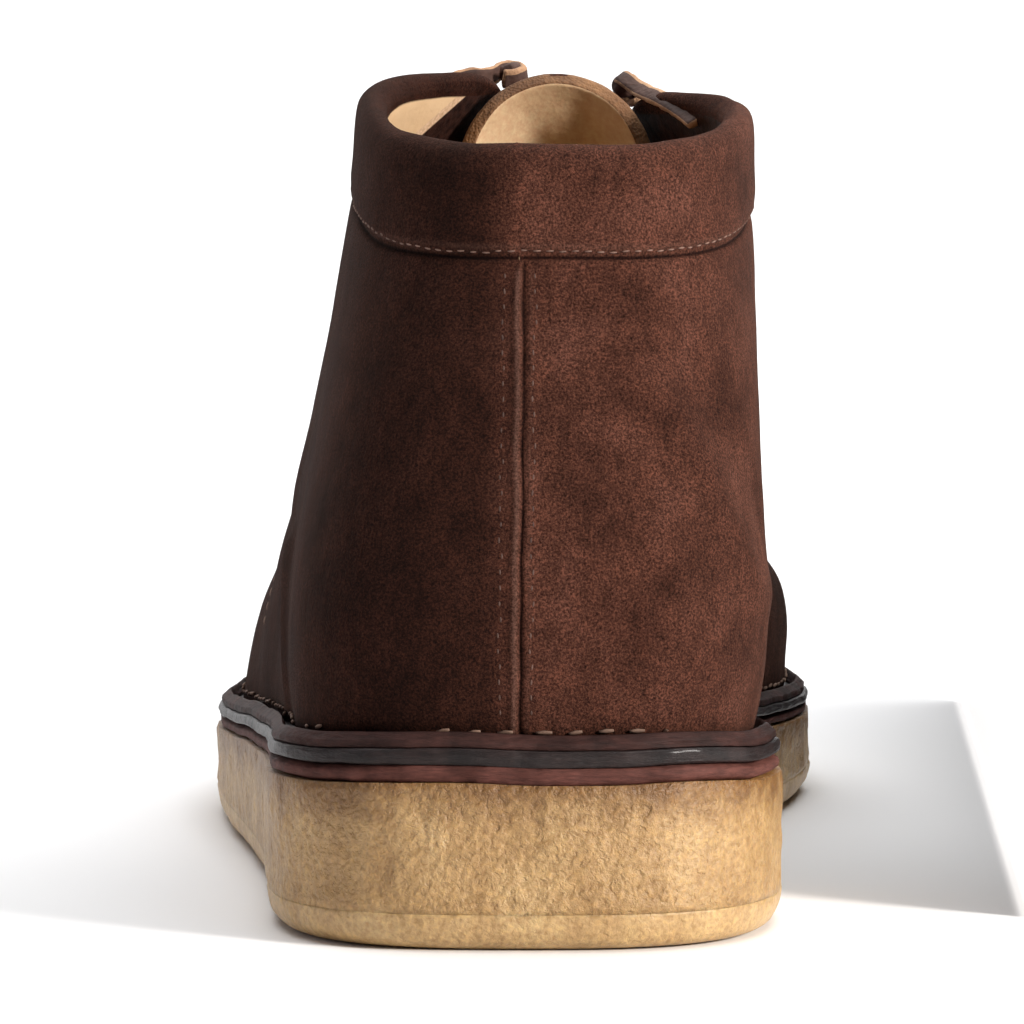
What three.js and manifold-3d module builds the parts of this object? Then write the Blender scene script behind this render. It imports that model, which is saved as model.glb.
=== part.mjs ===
import * as THREE from 'three';
import Module from 'manifold-3d';

// Desert boot for the left foot, in millimetres.
// +Z is up, +Y runs to the toe and +X to the inner side of the foot.
// The pieces are drawn with the rear edge of the sole at y = 0, and the whole boot is centred last.

// Sole sizes.
const SOLE_LENGTH = 305;
const BALL_WIDTH = 112;
const HEEL_WEDGE_HEIGHT = 24.8;
const TOE_SPRING = 9;
const SPRING_START = 0.63;
const SHEET_THICKNESS = 5.6;
const BROWN_LAYER_THICKNESS = 2.6;
const BLACK_LAYER_THICKNESS = 2.5;
const BOTTOM_EDGE_RADIUS = 4;
const HEEL_ROUND_LENGTH = 37;
const TOE_ROUND_LENGTH = 86;
const TOE_SWING = 7;

// Welt sizes.
const WELT_SETBACK = 0.8;
const WELT_EDGE_THICKNESS = 1.2;
const WELT_INNER_THICKNESS = 2.1;
const WELT_LEAN = 1.0;

// Upper sizes.
const BOOT_HEIGHT = 133.5;
const FEATHER_SETBACK = 4.6;
const WALL = 1.8;
const QUARTER_STEP = 0.8;
const BAND_HEIGHT = 15;
const BAND_STEP = 0.8;
const ROLL_SWELL = 0.9;
const ROLL_HEIGHT = 1.3;
const SEAM_RIDGE = 0.5;
const SEAM_HALF_WIDTH = 1;

// Insole, tongue and lace sizes.
const INSOLE_THICKNESS = 3.2;
const TONGUE_THICKNESS = 2.7;
const TONGUE_HALF_WIDTH = 23;
const TONGUE_TUCK = 2.2;
const TONGUE_SINK = 7.0;
const ARCH_SPRING = 0.6;
const EYELET_RADIUS = 2.3;
const EYELET_FROM_EDGE = 7;
const DRILL_LENGTH = 12;
const LACE_RADIUS = 1.25;
const LACE_LIFT = 0.9;
const LACE_DROP = 1.3;
const KNOT_RADIUS = 2.1;
const KNOT_HEIGHT = 2.4;
const EDGE_CLEARANCE = 3.4;

// Clearances between pieces that are glued, sewn or laid together.
const GLUE_GAP = 0.3;
const FEATHER_LIFT = 0.35;
const SIDE_GAP = 0.4;
const WELT_GAP = 1.3;
const INSOLE_GAP = 1.6;

// Half widths of the sole, as shares of the ball width.
const SOLE_ROWS = [
  { at: 0.00, outer: 0.357, inner: 0.357 },
  { at: 0.15, outer: 0.361, inner: 0.352 },
  { at: 0.30, outer: 0.402, inner: 0.318 },
  { at: 0.42, outer: 0.455, inner: 0.325 },
  { at: 0.52, outer: 0.497, inner: 0.392 },
  { at: 0.61, outer: 0.520, inner: 0.449 },
  { at: 0.70, outer: 0.516, inner: 0.482 },
  { at: 0.80, outer: 0.488, inner: 0.457 },
  { at: 0.90, outer: 0.479, inner: 0.430 },
  { at: 1.00, outer: 0.450, inner: 0.420 },
];

// Side view of the sole: the wedge's top and the thickness of the thin layers.
const SIDE_ROWS = [
  { at: 0.00, wedge: 1.000, stack: 1.00 },
  { at: 0.15, wedge: 0.925, stack: 0.97 },
  { at: 0.35, wedge: 0.808, stack: 0.88 },
  { at: 0.55, wedge: 0.688, stack: 0.80 },
  { at: 0.68, wedge: 0.640, stack: 0.78 },
  { at: 0.82, wedge: 0.665, stack: 0.78 },
  { at: 1.00, wedge: 0.845, stack: 0.80 },
];

// The rim of the collar from the back seam to the front corner.
// along is a share of the sole length, outer and inner of the ball width, height of the boot height.
// innerDrop is how much lower the inner side lies, as a share of the boot height.
const COLLAR_ROWS = [
  { at: 0.000, along: 0.0430, outer: -0.010, inner: -0.010, height: 0.884, innerDrop: 0 },
  { at: 0.060, along: 0.0530, outer: -0.085, inner: 0.145, height: 0.884, innerDrop: 0 },
  { at: 0.120, along: 0.0830, outer: -0.166, inner: 0.238, height: 0.899, innerDrop: 0.002 },
  { at: 0.200, along: 0.1480, outer: -0.212, inner: 0.294, height: 0.940, innerDrop: 0.010 },
  { at: 0.270, along: 0.2180, outer: -0.202, inner: 0.290, height: 0.972, innerDrop: 0.020 },
  { at: 0.320, along: 0.2720, outer: -0.142, inner: 0.247, height: 0.990, innerDrop: 0.024 },
  { at: 0.355, along: 0.3115, outer: -0.045, inner: 0.170, height: 1.000, innerDrop: 0.024 },
];

// The front edges of the quarters from the corner down to the end of the throat.
const THROAT_ROWS = [
  { at: 0.355, along: 0.3115, outer: -0.045, inner: 0.170, height: 1.000, innerDrop: 0.024 },
  { at: 0.405, along: 0.3870, outer: -0.022, inner: 0.140, height: 0.892, innerDrop: 0.014 },
  { at: 0.445, along: 0.4510, outer: 0.010, inner: 0.103, height: 0.790, innerDrop: 0.004 },
  { at: 0.470, along: 0.4760, outer: 0.054, inner: 0.054, height: 0.750, innerDrop: 0 },
];

// The ridge of the vamp from the throat to the top of the toe.
const RIDGE_ROWS = [
  { at: 0.47, along: 0.476, outer: 0.054, inner: 0.054, height: 0.750, innerDrop: 0 },
  { at: 0.60, along: 0.584, outer: 0.040, inner: 0.040, height: 0.602, innerDrop: 0 },
  { at: 0.70, along: 0.672, outer: 0.031, inner: 0.031, height: 0.509, innerDrop: 0 },
  { at: 0.80, along: 0.754, outer: 0.040, inner: 0.040, height: 0.446, innerDrop: 0 },
  { at: 0.90, along: 0.820, outer: 0.052, inner: 0.052, height: 0.408, innerDrop: 0 },
  { at: 1.00, along: 0.860, outer: 0.058, inner: 0.058, height: 0.388, innerDrop: 0 },
];

// How far each rib of the last swells from the straight line between its foot and its top.
// Shares of that line's length, at a fifth, a half and four fifths of the way up.
const OUTER_SWELL = [
  { at: 0.00, low: 0.043, middle: 0.040, high: 0.003 },
  { at: 0.12, low: 0.033, middle: 0.022, high: 0.003 },
  { at: 0.20, low: 0.030, middle: 0.014, high: 0.003 },
  { at: 0.27, low: 0.033, middle: 0.028, high: 0.018 },
  { at: 0.355, low: 0.046, middle: 0.072, high: 0.068 },
  { at: 0.47, low: 0.095, middle: 0.140, high: 0.145 },
  { at: 0.60, low: 0.118, middle: 0.170, high: 0.148 },
  { at: 0.75, low: 0.145, middle: 0.188, high: 0.132 },
  { at: 0.90, low: 0.190, middle: 0.205, high: 0.108 },
  { at: 1.00, low: 0.190, middle: 0.190, high: 0.085 },
];
const INNER_SWELL = [
  { at: 0.00, low: 0.043, middle: 0.040, high: 0.003 },
  { at: 0.12, low: 0.033, middle: 0.026, high: 0.012 },
  { at: 0.20, low: 0.026, middle: 0.022, high: 0.015 },
  { at: 0.27, low: 0.034, middle: 0.038, high: 0.026 },
  { at: 0.355, low: 0.050, middle: 0.080, high: 0.075 },
  { at: 0.47, low: 0.090, middle: 0.150, high: 0.160 },
  { at: 0.60, low: 0.165, middle: 0.195, high: 0.165 },
  { at: 0.75, low: 0.198, middle: 0.208, high: 0.148 },
  { at: 0.90, low: 0.195, middle: 0.210, high: 0.115 },
  { at: 1.00, low: 0.190, middle: 0.190, high: 0.085 },
];

// Where the quarters end on the feather line, as shares of its length from heel to toe.
const CORNER_AT = 0.355;
const QUARTER_END_AT = 0.47;
const ROLL_END_AT = 0.30;
const ROLL_ROWS = 12;
const ROLL_FADE_ROWS = 9;
const TONGUE_FOOT_AT = 0.53;
const TOP_EYELET_AT = 0.374;
const LOW_EYELET_AT = 0.424;
const KNOT_AT = 0.365;
const KNOT_FROM_EDGE = -2.2;

// The free end of the tongue, in the drawing's millimetres.
const TIP_CENTRE = new THREE.Vector3(5.0, 92, 115.0);
const TIP_RADIUS = 18.4;
const TIP_HALF_ANGLE = 1.3;
const TIP_SIDE_BACK = 7;
const TIP_ROUNDING = 0.25;
const TIP_ROWS = 7;
const TONGUE_OPEN_AT = 0.380;
const TONGUE_ROWS = 10;
const TONGUE_COLUMNS = 12;

const STATIONS = 30;
const OUTER = -1;
const INNER = 1;

// A smooth curve through one column of a table.
function smooth(rows, column) {
  const last = rows.length - 1;
  const slopes = rows.map((row, i) => {
    const before = rows[Math.max(i - 1, 0)];
    const after = rows[Math.min(i + 1, last)];
    if (i === 0 || i === last) {
      return (after[column] - before[column]) / (after.at - before.at);
    }
    const stepIn = row.at - before.at;
    const stepOut = after.at - row.at;
    const slopeIn = (row[column] - before[column]) / stepIn;
    const slopeOut = (after[column] - row[column]) / stepOut;
    return (slopeIn * stepOut + slopeOut * stepIn) / (stepIn + stepOut);
  });
  return (at) => {
    let i = 0;
    while (i < last - 1 && at > rows[i + 1].at) {
      i += 1;
    }
    const step = rows[i + 1].at - rows[i].at;
    const t = THREE.MathUtils.clamp((at - rows[i].at) / step, 0, 1);
    const a = rows[i][column];
    const b = rows[i + 1][column];
    const t2 = t * t;
    const t3 = t2 * t;
    return a * (2 * t3 - 3 * t2 + 1) + slopes[i] * step * (t3 - 2 * t2 + t)
      + b * (3 * t2 - 2 * t3) + slopes[i + 1] * step * (t3 - t2);
  };
}

function ramp(value, from, to) {
  return THREE.MathUtils.smoothstep(value, from, to);
}

const outerWidth = smooth(SOLE_ROWS, 'outer');
const innerWidth = smooth(SOLE_ROWS, 'inner');
const wedgeShare = smooth(SIDE_ROWS, 'wedge');
const stackShare = smooth(SIDE_ROWS, 'stack');

// The rounded ends of the outline: nearly square at the heel, rounder at the toe.
function endRound(y) {
  const heel = Math.max(0, 1 - y / HEEL_ROUND_LENGTH);
  const toe = Math.max(0, 1 - (SOLE_LENGTH - y) / TOE_ROUND_LENGTH);
  const heelRound = Math.pow(1 - Math.pow(heel, 2.2), 1 / 3.3);
  const toeRound = Math.pow(1 - Math.pow(toe, 2.3), 1 / 2.3);
  return heelRound * toeRound;
}

function solePoint(side, y) {
  const at = y / SOLE_LENGTH;
  const half = (side === OUTER ? outerWidth(at) : innerWidth(at)) * BALL_WIDTH;
  const swing = TOE_SWING * Math.pow(Math.max(0, (at - 0.55) / 0.45), 1.5);
  return new THREE.Vector2(swing + side * half * endRound(y), y);
}

// Stations along the sole, closer together where the outline turns.
function stationLengths(count) {
  const fine = 1500;
  const run = [0];
  let before = solePoint(OUTER, 0).x - solePoint(INNER, 0).x;
  for (let i = 1; i <= fine; i += 1) {
    const y = SOLE_LENGTH * (1 - Math.cos((Math.PI * i) / fine)) / 2;
    const yBefore = SOLE_LENGTH * (1 - Math.cos((Math.PI * (i - 1)) / fine)) / 2;
    const width = solePoint(OUTER, y).x - solePoint(INNER, y).x;
    run.push(run[i - 1] + Math.hypot(y - yBefore, (width - before) / 2));
    before = width;
  }
  const lengths = [];
  for (let k = 0; k <= count; k += 1) {
    const even = k / count;
    const warped = 0.45 * even + 0.55 * (1 - Math.cos(Math.PI * even)) / 2;
    let i = 0;
    while (i < fine && run[i] < warped * run[fine]) {
      i += 1;
    }
    lengths.push(SOLE_LENGTH * (1 - Math.cos((Math.PI * i) / fine)) / 2);
  }
  return lengths;
}

const STATION_Y = stationLengths(STATIONS);

// The closed outline, set in from the edge: heel, inner side, toe, outer side.
function outline(setback) {
  const edge = STATION_Y.map((y) => solePoint(INNER, y));
  for (let k = STATIONS - 1; k > 0; k -= 1) {
    edge.push(solePoint(OUTER, STATION_Y[k]));
  }
  return edge.map((point, i) => {
    const before = edge[(i + edge.length - 1) % edge.length];
    const after = edge[(i + 1) % edge.length];
    const along = after.clone().sub(before).normalize();
    return new THREE.Vector2(point.x - along.y * setback, point.y + along.x * setback);
  });
}

function groundZ(y) {
  const rise = Math.max(0, (y / SOLE_LENGTH - SPRING_START) / (1 - SPRING_START));
  return TOE_SPRING * rise * rise;
}

const wedgeZ = (y) => HEEL_WEDGE_HEIGHT * wedgeShare(y / SOLE_LENGTH);
const brownZ = (y) => wedgeZ(y) + BROWN_LAYER_THICKNESS * stackShare(y / SOLE_LENGTH);
const deckZ = (y) => brownZ(y) + BLACK_LAYER_THICKNESS * stackShare(y / SOLE_LENGTH);

function level(setback, height) {
  return outline(setback).map((p) => new THREE.Vector3(p.x, p.y, height(p.y)));
}

// Faces collected as triangles of points.
function quad(faces, a, b, c, d) {
  faces.push([a, b, c], [a, c, d]);
}

function band(faces, lower, upper) {
  lower.forEach((point, i) => {
    const j = (i + 1) % lower.length;
    quad(faces, point, lower[j], upper[j], upper[i]);
  });
}

// A lid across a loop whose two sides have the same stations.
function lid(faces, loop, up) {
  const half = loop.length / 2;
  const add = (a, b, c) => faces.push(up ? [a, b, c] : [a, c, b]);
  add(loop[0], loop[1], loop[loop.length - 1]);
  for (let i = 1; i < half - 1; i += 1) {
    const j = loop.length - i;
    add(loop[i], loop[i + 1], loop[j - 1]);
    add(loop[i], loop[j - 1], loop[j]);
  }
  add(loop[half - 1], loop[half], loop[half + 1]);
}

function stacked(loops) {
  const faces = [];
  lid(faces, loops[0], false);
  for (let i = 0; i < loops.length - 1; i += 1) {
    band(faces, loops[i], loops[i + 1]);
  }
  lid(faces, loops[loops.length - 1], true);
  return faces;
}

function ringed(loops) {
  const faces = [];
  loops.forEach((loop, i) => band(faces, loop, loops[(i + 1) % loops.length]));
  return faces;
}

function geometryOf(faces) {
  const positions = [];
  faces.forEach((face) => face.forEach((p) => positions.push(p.x, p.y, p.z)));
  const geometry = new THREE.BufferGeometry();
  geometry.setAttribute('position', new THREE.Float32BufferAttribute(positions, 3));
  return geometry;
}

const wasm = await Module();
wasm.setup();

function solidOf(faces) {
  const keys = new Map();
  const positions = [];
  const corners = [];
  faces.forEach((face) => {
    const ids = face.map((p) => {
      const key = [p.x, p.y, p.z].map((value) => Math.round(value * 1e4)).join(',');
      if (!keys.has(key)) {
        keys.set(key, keys.size);
        positions.push(p.x, p.y, p.z);
      }
      return keys.get(key);
    });
    if (ids[0] !== ids[1] && ids[1] !== ids[2] && ids[2] !== ids[0]) {
      corners.push(...ids);
    }
  });
  return new wasm.Manifold(new wasm.Mesh({
    numProp: 3,
    vertProperties: new Float32Array(positions),
    triVerts: new Uint32Array(corners),
  }));
}

function geometryOfSolid(solid) {
  const mesh = solid.getMesh();
  const geometry = new THREE.BufferGeometry();
  const positions = new THREE.Float32BufferAttribute(mesh.vertProperties, mesh.numProp);
  geometry.setAttribute('position', positions);
  geometry.setIndex(Array.from(mesh.triVerts));
  return geometry.toNonIndexed();
}

// Crepe: a bottom sheet with a rounded edge, and the wedge above it.
function outsoleFaces() {
  const top = (y) => groundZ(y) + SHEET_THICKNESS;
  const arc = (angle) => level(
    BOTTOM_EDGE_RADIUS * (1 - Math.cos(angle)),
    (y) => groundZ(y) + BOTTOM_EDGE_RADIUS * (1 - Math.sin(angle)),
  );
  return stacked([arc(Math.PI / 2), arc(Math.PI / 3), arc(Math.PI / 6), arc(0), level(0, top)]);
}

function wedgeFaces() {
  const bottom = (y) => groundZ(y) + SHEET_THICKNESS + GLUE_GAP;
  return stacked([level(0, bottom), level(0, wedgeZ)]);
}

function brownLayerFaces() {
  const bottom = (y) => wedgeZ(y) + GLUE_GAP;
  return stacked([level(0.5, bottom), level(0.5, brownZ)]);
}

function blackLayerFaces() {
  const bottom = (y) => brownZ(y) + GLUE_GAP;
  const shoulder = (y) => deckZ(y) - 0.6;
  return stacked([level(0.3, bottom), level(0.1, shoulder), level(0.5, deckZ)]);
}

function weltFaces() {
  const above = (height) => (y) => deckZ(y) + GLUE_GAP + height;
  const inner = FEATHER_SETBACK - WELT_GAP;
  return ringed([
    level(WELT_SETBACK, above(0)),
    level(WELT_SETBACK, above(WELT_EDGE_THICKNESS - 0.4)),
    level(WELT_SETBACK + 0.5, above(WELT_EDGE_THICKNESS)),
    level(inner - WELT_LEAN, above(WELT_INNER_THICKNESS)),
    level(inner, above(0)),
  ]);
}

function insoleFaces() {
  const edge = FEATHER_SETBACK + WALL + INSOLE_GAP;
  const above = (height) => (y) => deckZ(y) + GLUE_GAP + height;
  return stacked([
    level(edge, above(0)),
    level(edge, above(INSOLE_THICKNESS - 0.8)),
    level(edge + 0.8, above(INSOLE_THICKNESS)),
  ]);
}

// The feather line, where the upper meets the deck, measured by its length on each side.
function featherLine(side) {
  const loop = level(FEATHER_SETBACK, (y) => deckZ(y) + GLUE_GAP + FEATHER_LIFT);
  const points = loop.slice(0, STATIONS + 1);
  if (side === OUTER) {
    points.splice(1, STATIONS - 1, ...loop.slice(STATIONS + 1).reverse());
  }
  return new THREE.CatmullRomCurve3(points, false, 'centripetal');
}

const FEATHER = { [OUTER]: featherLine(OUTER), [INNER]: featherLine(INNER) };
FEATHER[OUTER].arcLengthDivisions = 600;
FEATHER[INNER].arcLengthDivisions = 600;

function topLineColumns(rows) {
  return {
    along: smooth(rows, 'along'),
    [OUTER]: smooth(rows, 'outer'),
    [INNER]: smooth(rows, 'inner'),
    height: smooth(rows, 'height'),
    innerDrop: smooth(rows, 'innerDrop'),
  };
}

const COLLAR = topLineColumns(COLLAR_ROWS);
const THROAT = topLineColumns(THROAT_ROWS);
const RIDGE = topLineColumns(RIDGE_ROWS);

function topPoint(side, at) {
  let line = RIDGE;
  if (at <= CORNER_AT) {
    line = COLLAR;
  } else if (at <= QUARTER_END_AT) {
    line = THROAT;
  }
  return new THREE.Vector3(
    BALL_WIDTH * line[side](at),
    SOLE_LENGTH * line.along(at),
    BOOT_HEIGHT * (line.height(at) - (side === INNER ? line.innerDrop(at) : 0)),
  );
}

const SWELL = {};
[[OUTER, OUTER_SWELL], [INNER, INNER_SWELL]].forEach(([side, rows]) => {
  SWELL[side] = ['low', 'middle', 'high'].map((column) => smooth(rows, column));
});

// One rib of the last, from the feather line to the top line.
function rib(side, at) {
  const foot = FEATHER[side].getPointAt(at);
  const top = topPoint(side, at);
  const line = top.clone().sub(foot);
  const length = line.length();
  const tangent = FEATHER[side].getTangentAt(at);
  const out = new THREE.Vector3(tangent.y, -tangent.x, 0).multiplyScalar(side);
  const along = line.clone().normalize();
  const swellWay = out.sub(along.clone().multiplyScalar(out.dot(along))).normalize();
  const [low, middle, high] = SWELL[side].map((column) => column(at) * length);
  const swell = smooth([
    { at: 0, out: 0 },
    { at: 0.2, out: low },
    { at: 0.5, out: middle },
    { at: 0.8, out: high },
    { at: 1, out: 0 },
  ], 'out');
  return {
    length,
    point: (v) => foot.clone().addScaledVector(line, v).addScaledVector(swellWay, swell(v)),
  };
}

// Ribs: close together on the back seam, at the front corner and at the quarter's edge.
function ribPlaces() {
  const seam = SEAM_HALF_WIDTH / FEATHER[OUTER].getLength();
  const places = [0, seam, seam * 2];
  const fill = (from, to, count) => {
    for (let i = 1; i <= count; i += 1) {
      places.push(from + ((to - from) * i) / count);
    }
  };
  fill(seam * 2, CORNER_AT, 13);
  fill(CORNER_AT, QUARTER_END_AT, 7);
  places.push(QUARTER_END_AT + 0.003);
  fill(QUARTER_END_AT + 0.003, 1, 14);
  return places;
}

const RIB_AT = ribPlaces();
const LAST_RIB = RIB_AT.length - 1;
const CORNER_RIB = RIB_AT.findIndex((at) => Math.abs(at - CORNER_AT) < 1e-9);
const EDGE_RIB = RIB_AT.findIndex((at) => Math.abs(at - QUARTER_END_AT) < 1e-9);
const LOW_ROWS = 9;
const BAND_ROWS = [BAND_HEIGHT + 0.6, BAND_HEIGHT, 9.5, 4.5, 1.5, 0];
const TOP_ROW = LOW_ROWS + BAND_ROWS.length - 1;

function rowPlace(row, length) {
  const bandFoot = 1 - BAND_ROWS[0] / length;
  if (row < LOW_ROWS) {
    return (bandFoot * row) / LOW_ROWS;
  }
  return 1 - BAND_ROWS[row - LOW_ROWS] / length;
}

// The last's surface as a grid of shared points with normals, ribs by rows.
function lastGrid() {
  const makeSide = (side) => RIB_AT.map((at) => {
    const line = rib(side, at);
    const points = [];
    for (let row = 0; row <= TOP_ROW; row += 1) {
      points.push({ at: line.point(rowPlace(row, line.length)), normal: new THREE.Vector3() });
    }
    return points;
  });
  const grid = { [OUTER]: makeSide(OUTER), [INNER]: makeSide(INNER) };
  grid[INNER][0] = grid[OUTER][0];
  grid[INNER][LAST_RIB] = grid[OUTER][LAST_RIB];
  for (let i = EDGE_RIB; i < LAST_RIB; i += 1) {
    grid[INNER][i][TOP_ROW] = grid[OUTER][i][TOP_ROW];
  }
  [OUTER, INNER].forEach((side) => {
    for (let i = 0; i < LAST_RIB; i += 1) {
      for (let row = 0; row < TOP_ROW; row += 1) {
        const corners = [grid[side][i][row], grid[side][i + 1][row],
          grid[side][i + 1][row + 1], grid[side][i][row + 1]];
        const across = corners[2].at.clone().sub(corners[0].at);
        const back = corners[3].at.clone().sub(corners[1].at);
        const normal = across.cross(back).multiplyScalar(side);
        corners.forEach((corner) => corner.normal.add(normal));
      }
    }
  });
  [OUTER, INNER].forEach((side) => {
    grid[side].forEach((points) => points.forEach((point) => point.normal.normalize()));
  });
  return grid;
}

const LAST = lastGrid();

// The padded roll of the rim, which thins away before the front corners.
function rimRoll(ribIndex, down) {
  const fade = 1 - ramp(RIB_AT[ribIndex], ROLL_END_AT, CORNER_AT - 0.01);
  return ROLL_SWELL * fade * ramp(ROLL_ROWS - down, 0, ROLL_FADE_ROWS) * (down === 0 ? 0.4 : 1);
}

// How far the outside of the upper stands off the last's surface.
function outsideRaise(ribIndex, row) {
  const down = row < LOW_ROWS ? 99 : BAND_ROWS[row - LOW_ROWS];
  const fromFeather = ramp(row, 0, 1);
  let raise = ribIndex <= EDGE_RIB ? QUARTER_STEP * fromFeather : 0;
  const bandDepth = BAND_HEIGHT * (1 - ramp(RIB_AT[ribIndex], CORNER_AT, CORNER_AT + 0.03));
  const inBand = down <= bandDepth + 0.01 && ribIndex <= EDGE_RIB;
  if (inBand) {
    raise += BAND_STEP;
  }
  raise += rimRoll(ribIndex, down);
  if (ribIndex === 0 && down > BAND_HEIGHT) {
    raise += SEAM_RIDGE * fromFeather;
  }
  return raise;
}

// How far the inside of the upper lies behind the last's surface.
function insideDepth(ribIndex, row) {
  const down = row < LOW_ROWS ? 99 : BAND_ROWS[row - LOW_ROWS];
  return WALL + rimRoll(ribIndex, down);
}

// The upper: outside, inside, the cut at the feather line and the rolled rim.
function upperFaces() {
  const shift = (point, amount) => point.at.clone().addScaledVector(point.normal, amount);
  const outside = {};
  const inside = {};
  const rim = {};
  [OUTER, INNER].forEach((side) => {
    outside[side] = LAST[side].map((points, i) => points.map((p, row) => shift(p, outsideRaise(i, row))));
    inside[side] = LAST[side].map((points, i) => points.map((p, row) => shift(p, -insideDepth(i, row))));
    rim[side] = LAST[side].map((points, i) => {
      const middle = outside[side][i][TOP_ROW].clone().add(inside[side][i][TOP_ROW]).multiplyScalar(0.5);
      const up = points[TOP_ROW].at.clone().sub(points[TOP_ROW - 2].at).normalize();
      const height = 0.3 + ROLL_HEIGHT * (1 - ramp(RIB_AT[i], ROLL_END_AT, CORNER_AT - 0.01));
      return middle.addScaledVector(up, i < EDGE_RIB ? height : 0);
    });
  });
  const faces = [];
  const facing = (flip, a, b, c, d) => (flip ? quad(faces, d, c, b, a) : quad(faces, a, b, c, d));
  [OUTER, INNER].forEach((side) => {
    const flip = side === OUTER;
    for (let i = 0; i < LAST_RIB; i += 1) {
      for (let row = 0; row < TOP_ROW; row += 1) {
        const o = outside[side];
        const n = inside[side];
        facing(flip, o[i][row], o[i + 1][row], o[i + 1][row + 1], o[i][row + 1]);
        facing(!flip, n[i][row], n[i + 1][row], n[i + 1][row + 1], n[i][row + 1]);
      }
      facing(flip, inside[side][i][0], inside[side][i + 1][0], outside[side][i + 1][0], outside[side][i][0]);
      if (i < EDGE_RIB) {
        const o = outside[side];
        const n = inside[side];
        facing(flip, o[i][TOP_ROW], o[i + 1][TOP_ROW], rim[side][i + 1], rim[side][i]);
        facing(flip, rim[side][i], rim[side][i + 1], n[i + 1][TOP_ROW], n[i][TOP_ROW]);
      }
    }
  });
  return faces;
}

// A point on the last's surface, a distance down from the top line, with its normal.
function surfacePoint(side, at, down) {
  const line = rib(side, at);
  const v = 1 - down / line.length;
  const point = line.point(v);
  const up = line.point(Math.min(v + 0.02, 1)).sub(line.point(v - 0.02));
  const ahead = rib(side, at + 0.004);
  const forward = ahead.point(1 - down / ahead.length).sub(point);
  const normal = forward.cross(up).multiplyScalar(side).normalize();
  return { point, normal };
}

// Across the throat from one side to the other, the open gap closed by an arch.
function archSection(at, depth) {
  const downs = [24, 18, 12, 7, 3, 0];
  const open = at < QUARTER_END_AT - 0.002;
  const outer = downs.map((down) => surfacePoint(OUTER, at, down));
  const inner = downs.map((down) => surfacePoint(INNER, at, down)).reverse();
  const from = outer[outer.length - 1];
  const to = inner[0];
  const bridge = [];
  if (open) {
    const gap = from.point.distanceTo(to.point);
    const leave = from.point.clone().sub(outer[outer.length - 2].point).setLength(gap * ARCH_SPRING);
    const arrive = inner[1].point.clone().sub(to.point).setLength(gap * ARCH_SPRING);
    [0.25, 0.5, 0.75].forEach((t) => {
      const t2 = t * t;
      const t3 = t2 * t;
      const point = from.point.clone().multiplyScalar(2 * t3 - 3 * t2 + 1)
        .addScaledVector(leave, t3 - 2 * t2 + t)
        .addScaledVector(to.point, 3 * t2 - 2 * t3)
        .addScaledVector(arrive, t3 - t2);
      bridge.push({ point, normal: from.normal.clone().lerp(to.normal, t).normalize() });
    });
  } else {
    from.normal.add(to.normal).normalize();
    inner.shift();
  }
  const across = [...outer, ...bridge, ...inner];
  const points = across.map((p) => p.point.clone().addScaledVector(p.normal, -depth));
  const curve = new THREE.CatmullRomCurve3(points, false, 'centripetal');
  const middle = open ? outer.length + 1 : outer.length - 1;
  const before = new THREE.CatmullRomCurve3(points.slice(0, middle + 1), false, 'centripetal');
  return { curve, length: curve.getLength(), centre: before.getLength() };
}

function onArch(section, across) {
  const share = THREE.MathUtils.clamp((section.centre + across) / section.length, 0, 1);
  return section.curve.getPointAt(share);
}

// A curved sheet given as rows of points: the other face lies a thickness behind it.
function sheetFaces(rows, thickness) {
  const normals = rows.map((row, i) => row.map((point, j) => {
    const ahead = rows[Math.min(i + 1, rows.length - 1)][j].clone().sub(rows[Math.max(i - 1, 0)][j]);
    const across = row[Math.min(j + 1, row.length - 1)].clone().sub(row[Math.max(j - 1, 0)]);
    return across.cross(ahead).normalize();
  }));
  const back = rows.map((row, i) => row.map((p, j) => p.clone().addScaledVector(normals[i][j], -thickness)));
  const faces = [];
  const lastRow = rows.length - 1;
  const lastColumn = rows[0].length - 1;
  for (let i = 0; i < lastRow; i += 1) {
    for (let j = 0; j < lastColumn; j += 1) {
      quad(faces, rows[i][j], rows[i][j + 1], rows[i + 1][j + 1], rows[i + 1][j]);
      quad(faces, back[i][j], back[i + 1][j], back[i + 1][j + 1], back[i][j + 1]);
    }
    quad(faces, rows[i][0], rows[i + 1][0], back[i + 1][0], back[i][0]);
    quad(faces, rows[i][lastColumn], back[i][lastColumn], back[i + 1][lastColumn], rows[i + 1][lastColumn]);
  }
  for (let j = 0; j < lastColumn; j += 1) {
    quad(faces, rows[0][j], back[0][j], back[0][j + 1], rows[0][j + 1]);
    quad(faces, rows[lastRow][j], rows[lastRow][j + 1], back[lastRow][j + 1], back[lastRow][j]);
  }
  return faces;
}

// The free end of the tongue: an arch round the shin, with its sides drawn back.
function tipPoint(share) {
  const angle = share * TIP_HALF_ANGLE;
  return new THREE.Vector3(
    TIP_CENTRE.x + TIP_RADIUS * Math.sin(angle),
    TIP_CENTRE.y - TIP_SIDE_BACK * (1 - Math.cos(angle)),
    TIP_CENTRE.z + TIP_RADIUS * Math.cos(angle),
  );
}

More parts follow.
